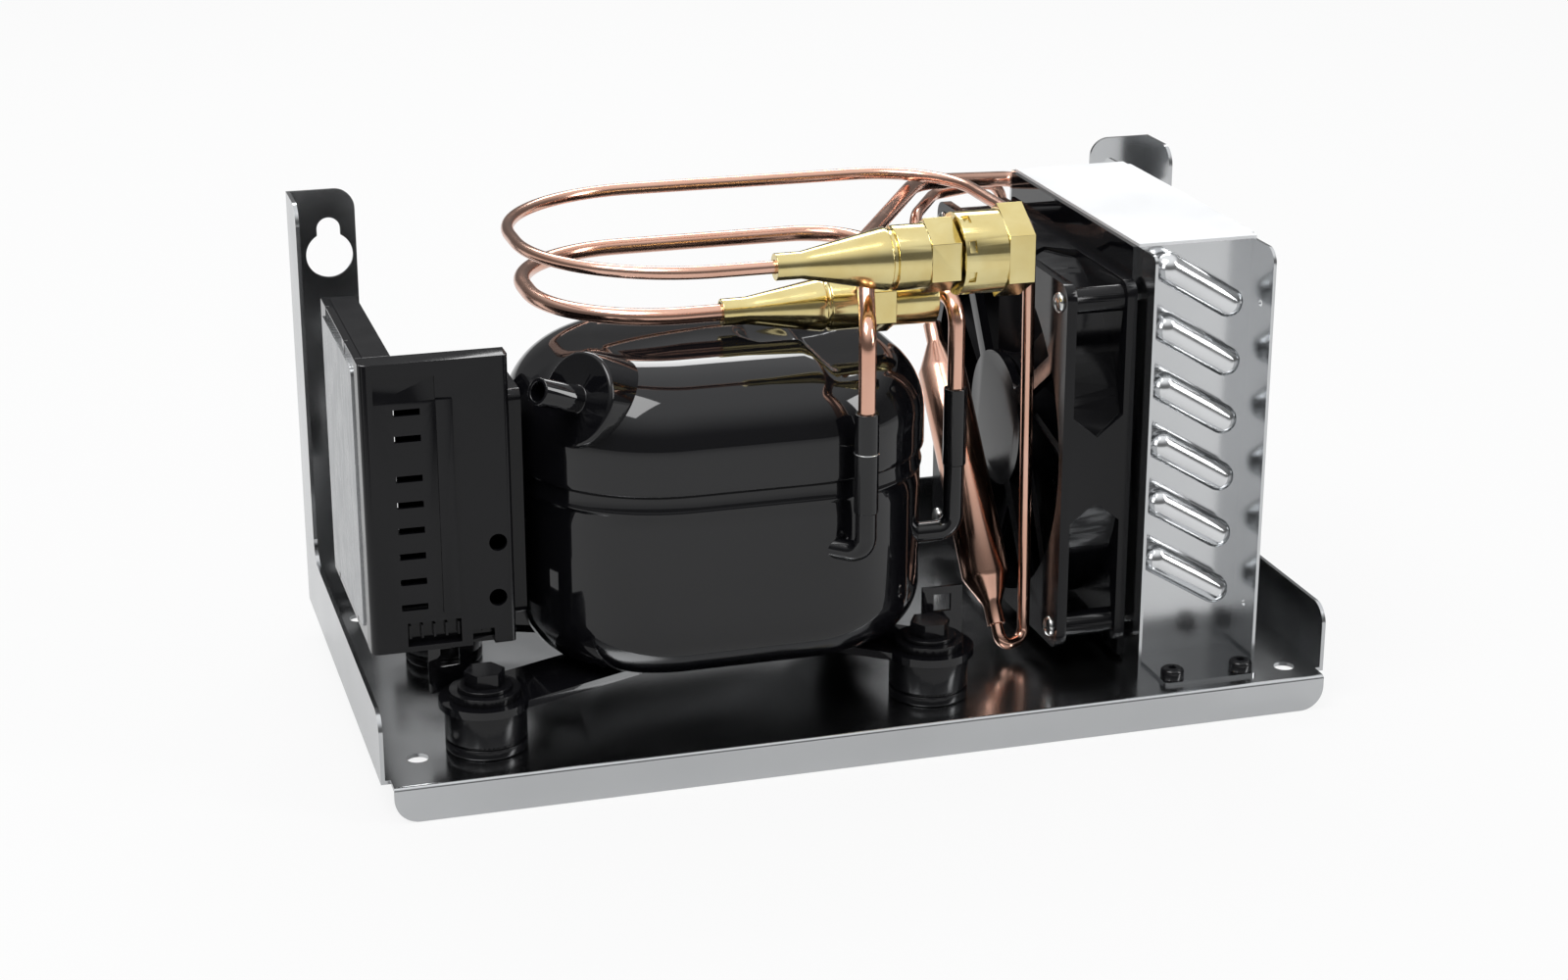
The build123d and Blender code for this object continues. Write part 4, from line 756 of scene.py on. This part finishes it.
class UNIT_OT_tray(bpy.types.Operator):
    """Finish the folded tray"""

    bl_idname = "condensing_unit.tray"
    bl_label = "Finish tray"

    def execute(self, context):
        coat = finishes(looks_of(context))
        paint("base_tray", coat["galvanised"])
        return {"FINISHED"}


class UNIT_OT_feet(bpy.types.Operator):
    """Finish the compressor's rubber feet, bracket and bolts"""

    bl_idname = "condensing_unit.feet"
    bl_label = "Finish feet"

    def execute(self, context):
        looks = looks_of(context)
        coat = finishes(looks)
        for node in ("foot_bolts", "foot_nuts", "foot_washers", "rubber_grommets"):
            eased(node, EDGE_EASE[node], coat[SLOTS[node]])
        eased("compressor_bracket", looks.sheet_ease, coat[SLOTS["compressor_bracket"]])
        paint("foot_sleeves", coat["zinc_hardware"])
        return {"FINISHED"}


class UNIT_OT_compressor(bpy.types.Operator):
    """Build the compressor's shell and finish its connectors"""

    bl_idname = "condensing_unit.compressor"
    bl_label = "Build compressor"

    def execute(self, context):
        looks = looks_of(context)
        coat = finishes(looks)
        shape = ShellShape(looks)
        stand_for(upper_shell(shape), coat["black_enamel"], "compressor_upper_shell")
        stand_for(lower_shell(shape), coat["black_enamel"], "compressor_lower_shell")
        for node in ("compressor_process_tube", "discharge_sleeve", "suction_sleeve"):
            eased(node, EDGE_EASE[node], coat["black_enamel"])
        self.sleeve_ring(coat["aluminium"])
        return {"FINISHED"}

    def sleeve_ring(self, metal):
        """The thin pale ring round the upright run of the discharge sleeve."""
        low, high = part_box("discharge_sleeve")
        place = (high[0] - SLEEVE_COLLAR, low[1] + SLEEVE_COLLAR, high[2] - RING_DROP)
        ring = run_tree("sleeve_ring", collar_tree(), [place], {
            "Radius": 4.5 * MM, "Lip": 0.22 * MM, "Turn": (0.0, 0.0, 0.0), "Material": metal})
        join_on(ring, metal, "discharge_sleeve")


class UNIT_OT_mechanism(bpy.types.Operator):
    """Finish the motor and crank mechanism inside the shell"""

    bl_idname = "condensing_unit.mechanism"
    bl_label = "Finish mechanism"

    def execute(self, context):
        coat = finishes(looks_of(context))
        for node in ("motor_stator", "motor_windings", "motor_rotor", "crankshaft", "cylinder_block",
                     "piston", "wrist_pin", "connecting_rod", "cylinder_head", "suspension_springs",
                     "terminal_pins"):
            paint(node, coat[SLOTS[node]])
        return {"FINISHED"}


class UNIT_OT_control(bpy.types.Operator):
    """Finish the control unit and the terminal cover"""

    bl_idname = "condensing_unit.control"
    bl_label = "Finish control unit"

    def execute(self, context):
        looks = looks_of(context)
        coat = finishes(looks)
        for node in ("control_front_cover", "control_housing", "terminal_cover"):
            eased(node, looks.moulded_ease, coat["black_plastic"])
        eased("control_heat_sink", EDGE_EASE["control_heat_sink"], coat["black_enamel"])
        # The terminal block gets the black plastic instead of its own pale plastic, so the opening round
        # the pins stays dark: painted shade in that recess.
        paint("control_terminal_block", coat["black_plastic"])
        for node in ("control_board", "control_bracket"):
            paint(node, coat[SLOTS[node]])
        self.side_panel(coat["side_plate"])
        return {"FINISHED"}

    def side_panel(self, metal):
        """The pale plate let into the dark side of the control unit."""
        low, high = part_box("control_heat_sink")
        center = (low[0] - PLATE_PROUD + PLATE_SINK, (low[1] + high[1]) / 2, (low[2] + high[2]) / 2)
        size = (2 * PLATE_PROUD, high[1] - low[1] - 2 * PLATE_MARGIN, high[2] - low[2] - 2 * PLATE_MARGIN)
        work = bmesh.new()
        bmesh.ops.create_cube(work, size=1.0)
        bmesh.ops.scale(work, vec=size, verts=work.verts)
        corners = [edge for edge in work.edges
                   if abs(edge.verts[0].co.x - edge.verts[1].co.x) > PLATE_PROUD]
        bmesh.ops.bevel(work, geom=corners, offset=PLATE_CORNER, segments=PLATE_CORNER_STEPS,
                        affect="EDGES", profile=0.5)
        bmesh.ops.translate(work, vec=center, verts=work.verts)
        mesh = bpy.data.meshes.new("heat_sink_plate")
        work.to_mesh(mesh)
        work.free()
        shade(mesh)
        join_on(link("heat_sink_plate", mesh), metal, "control_heat_sink")


class UNIT_OT_condenser(bpy.types.Operator):
    """Finish the coil, its plates, cover, collars and screws"""

    bl_idname = "condensing_unit.condenser"
    bl_label = "Finish condenser"

    def execute(self, context):
        coat = finishes(looks_of(context))
        for node in ("condenser_front_plate", "condenser_rear_plate"):
            paint(node, coat["end_plate"])
        paint("condenser_cover", coat["cover_sheet"])
        paint("fan_shroud", coat["black_enamel"])
        paint("condenser_return_bends", coat["tube_aluminium"])
        self.hairpins(coat["tube_aluminium"])
        paint("condenser_fins", coat["aluminium"])
        self.collars(coat["tube_aluminium"])
        eased("condenser_screws", EDGE_EASE["condenser_screws"], coat["black_hardware"])
        return {"FINISHED"}

    def hairpins(self, metal):
        """The six bent tubes, each with its rounded bend against the front plate."""
        radius = self.tube_radius()
        boxes = islands("condenser_hairpins")
        points = [((low[0] + high[0]) / 2, low[1] + radius, (low[2] + high[2]) / 2) for low, high in boxes]
        low, high = boxes[-1]
        made = run_tree("hairpin_tubes", hairpin_tree(), points, {
            "Radius": radius, "Bend Radius": radius * BEND_SWELL,
            "Half Span": (high[0] - low[0]) / 2 - radius, "Half Drop": (high[2] - low[2]) / 2 - radius,
            "Length": high[1] - low[1] - radius, "Material": metal})
        stand_for(made, metal, "condenser_hairpins")

    def tube_radius(self):
        """The radius of the coil's tube."""
        low, high = islands("condenser_hairpins")[0]
        return (high[2] - low[2] - COIL_SLANT) / 2

    def collars(self, metal):
        """A rolled collar where each tube leaves the back of the rear plate."""
        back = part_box("condenser_fins")[1][1] + REAR_PLATE_GAP
        radius = self.tube_radius()
        points = []
        for low, high in islands("condenser_hairpins"):
            points.append((low[0] + radius, back, high[2] - radius))
            points.append((high[0] - radius, back, low[2] + radius))
        rings = run_tree("tube_collars", collar_tree(), points, {
            "Radius": radius + COLLAR_REACH, "Lip": COLLAR_LIP, "Material": metal})
        join_on(rings, metal, "condenser_hairpins")


class UNIT_OT_fan(bpy.types.Operator):
    """Finish the fan frame, impeller and screws"""

    bl_idname = "condensing_unit.fan"
    bl_label = "Finish fan"

    def execute(self, context):
        looks = looks_of(context)
        coat = finishes(looks)
        eased("fan_frame", looks.moulded_ease, coat["black_plastic"])
        eased("fan_impeller", looks.moulded_ease, coat["matt_plastic"])
        for node in ("fan_bearing", "fan_motor", "fan_shaft", "fan_magnet"):
            paint(node, coat[SLOTS[node]])
        self.screws(coat["zinc_hardware"])
        return {"FINISHED"}

    def screws(self, zinc):
        """The four screws that hold the frame to the shroud."""
        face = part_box("fan_frame")[0][0]
        boxes = islands("fan_screws")
        points = [(face, (low[1] + high[1]) / 2, (low[2] + high[2]) / 2) for low, high in boxes]
        made = run_tree("fan_screw_set", cross_screw_tree(), points, {
            "Radius": 4.0 * MM, "Height": 2.3 * MM, "Slot": 1.0 * MM, "Shank Radius": 2.0 * MM,
            "Shank Length": boxes[-1][1][0] - face, "Turn": (0.0, -math.pi / 2, 0.0), "Material": zinc})
        stand_for(made, zinc, "fan_screws")


class UNIT_OT_couplings(bpy.types.Operator):
    """Finish the brass quick couplings"""

    bl_idname = "condensing_unit.couplings"
    bl_label = "Finish couplings"

    def execute(self, context):
        looks = looks_of(context)
        coat = finishes(looks)
        for node in ("liquid_coupling_body", "liquid_coupling_nut", "suction_coupling_body"):
            eased(node, looks.brass_ease, coat["brass"])
        for side in ("liquid", "suction"):
            for part in ("poppet", "spring", "seal"):
                node = side + "_coupling_" + part
                paint(node, coat[SLOTS[node]])
        return {"FINISHED"}


class UNIT_OT_pipes(bpy.types.Operator):
    """Finish the copper pipes and the filter drier"""

    bl_idname = "condensing_unit.pipes"
    bl_label = "Finish pipes"

    def execute(self, context):
        coat = finishes(looks_of(context))
        for node in ("liquid_pipe", "suction_pipe", "discharge_pipe", "condenser_outlet_pipe",
                     "drier_body"):
            eased(node, PIPE_EASE, coat["copper"])
        paint("drier_core", coat["beads"])
        return {"FINISHED"}


class UNIT_OT_stage(bpy.types.Operator):
    """Set the pale floor, the studio light and the camera"""

    bl_idname = "condensing_unit.stage"
    bl_label = "Set stage"

    def execute(self, context):
        scene = context.scene
        scene.view_settings.view_transform = "Standard"
        self.floor()
        self.world(scene)
        for lamp in LAMPS:
            self.lamp(scene, *lamp)
        self.camera(scene)
        return {"FINISHED"}

    def white_share(self, tree, seen, mirrored):
        """How much plain white a ray finds, by its kind."""
        rays = add(tree, "ShaderNodeLightPath")
        camera = combine(tree, rays.outputs["Is Camera Ray"], seen, "MULTIPLY")
        bounced = combine(tree, rays.outputs["Is Glossy Ray"], rays.outputs["Is Transmission Ray"])
        return combine(tree, camera, combine(tree, bounced, mirrored, "MULTIPLY"))

    def floor(self):
        """A wide pale floor under the unit."""
        mesh = bpy.data.meshes.new("floor")
        reach = FLOOR_REACH
        corners = ((-reach, -reach), (reach, -reach), (reach, reach), (-reach, reach))
        mesh.from_pydata([(x, y, FLOOR_LEVEL) for x, y in corners], [], [(0, 1, 2, 3)])
        floor = link("floor", mesh)
        material = bpy.data.materials.new("pale_floor")
        material.use_nodes = True
        tree = material.node_tree
        shader = tree.nodes["Principled BSDF"]
        shader.inputs["Base Color"].default_value = FLOOR_COLOR
        shader.inputs["Roughness"].default_value = 0.9
        shader.inputs["Specular IOR Level"].default_value = 0.0
        glow = add(tree, "ShaderNodeEmission", {"Color": (1.0, 1.0, 1.0, 1.0), "Strength": 1.0})
        share = self.white_share(tree, FLOOR_SEEN, FLOOR_MIRRORED)
        mixed = add(tree, "ShaderNodeMixShader", {0: share, 1: shader.outputs["BSDF"],
                                                  2: glow.outputs["Emission"]})
        tree.links.new(mixed.outputs["Shader"], tree.nodes["Material Output"].inputs["Surface"])
        floor.data.materials.append(material)

    def world(self, scene):
        """A white background over a soft studio, dark near the floor and white overhead."""
        world = bpy.data.worlds.new("studio")
        scene.world = world
        world.use_nodes = True
        tree = world.node_tree
        tree.nodes.clear()
        place = add(tree, "ShaderNodeTexCoord")
        parts = add(tree, "ShaderNodeSeparateXYZ", {"Vector": place.outputs["Generated"]})
        ramp = add(tree, "ShaderNodeMapRange", {"Value": parts.outputs["Z"], "From Min": 0.3,
                                                "From Max": 0.9, "To Min": 0.06, "To Max": 1.05},
                   interpolation_type="SMOOTHSTEP")
        soft = add(tree, "ShaderNodeBackground", {"Color": (0.98, 0.99, 1.0, 1.0),
                                                  "Strength": ramp.outputs["Result"]})
        white = add(tree, "ShaderNodeBackground", {"Color": (1.0, 1.0, 1.0, 1.0), "Strength": 1.0})
        share = self.white_share(tree, WORLD_SEEN, WORLD_MIRRORED)
        mixed = add(tree, "ShaderNodeMixShader", {0: share, 1: soft.outputs["Background"],
                                                  2: white.outputs["Background"]})
        add(tree, "ShaderNodeOutputWorld", {"Surface": mixed.outputs["Shader"]})

    def lamp(self, scene, name, place, target, width, height, power):
        """A soft box that points at a target."""
        light = bpy.data.lights.new(name, "AREA")
        light.shape = "RECTANGLE"
        light.size = width
        light.size_y = height
        light.energy = power
        obj = bpy.data.objects.new(name, light)
        obj.location = place
        obj.rotation_euler = (Vector(target) - Vector(place)).to_track_quat("-Z", "Y").to_euler()
        scene.collection.objects.link(obj)

    def camera(self, scene):
        """The camera, low and a little to the left of the front."""
        camera = bpy.data.cameras.new("camera")
        camera.lens = CAMERA_LENS
        camera.sensor_width = CAMERA_SENSOR
        obj = bpy.data.objects.new("camera", camera)
        obj.location = CAMERA_PLACE
        obj.rotation_euler = (math.radians(CAMERA_TILT), 0.0, math.radians(CAMERA_TURN))
        scene.collection.objects.link(obj)
        scene.camera = obj


class UNIT_PT_panel(bpy.types.Panel):
    """Settings and build steps of the condensing unit"""

    bl_idname = "UNIT_PT_panel"
    bl_label = "Condensing Unit"
    bl_space_type = "VIEW_3D"
    bl_region_type = "UI"
    bl_category = "Condensing Unit"

    def draw(self, context):
        looks = looks_of(context)
        for name in UnitLooks.__annotations__:
            self.layout.prop(looks, name)
        for step in STEPS:
            self.layout.operator(step.bl_idname)


STEPS = (UNIT_OT_tray, UNIT_OT_feet, UNIT_OT_compressor, UNIT_OT_mechanism, UNIT_OT_control,
         UNIT_OT_condenser, UNIT_OT_fan, UNIT_OT_couplings, UNIT_OT_pipes, UNIT_OT_stage)
CLASSES = (UnitLooks, *STEPS, UNIT_PT_panel)


def register():
    """Adds the classes and the scene's settings."""
    for cls in CLASSES:
        bpy.utils.register_class(cls)
    bpy.types.Scene.condensing_unit = bpy.props.PointerProperty(type=UnitLooks)


def unregister():
    """Removes the settings and the classes."""
    del bpy.types.Scene.condensing_unit
    for cls in reversed(CLASSES):
        bpy.utils.unregister_class(cls)


def main():
    """Runs every build step in order."""
    register()
    for step in STEPS:
        group, name = step.bl_idname.split(".")
        getattr(getattr(bpy.ops, group), name)()


if __name__ == "__main__":
    main()
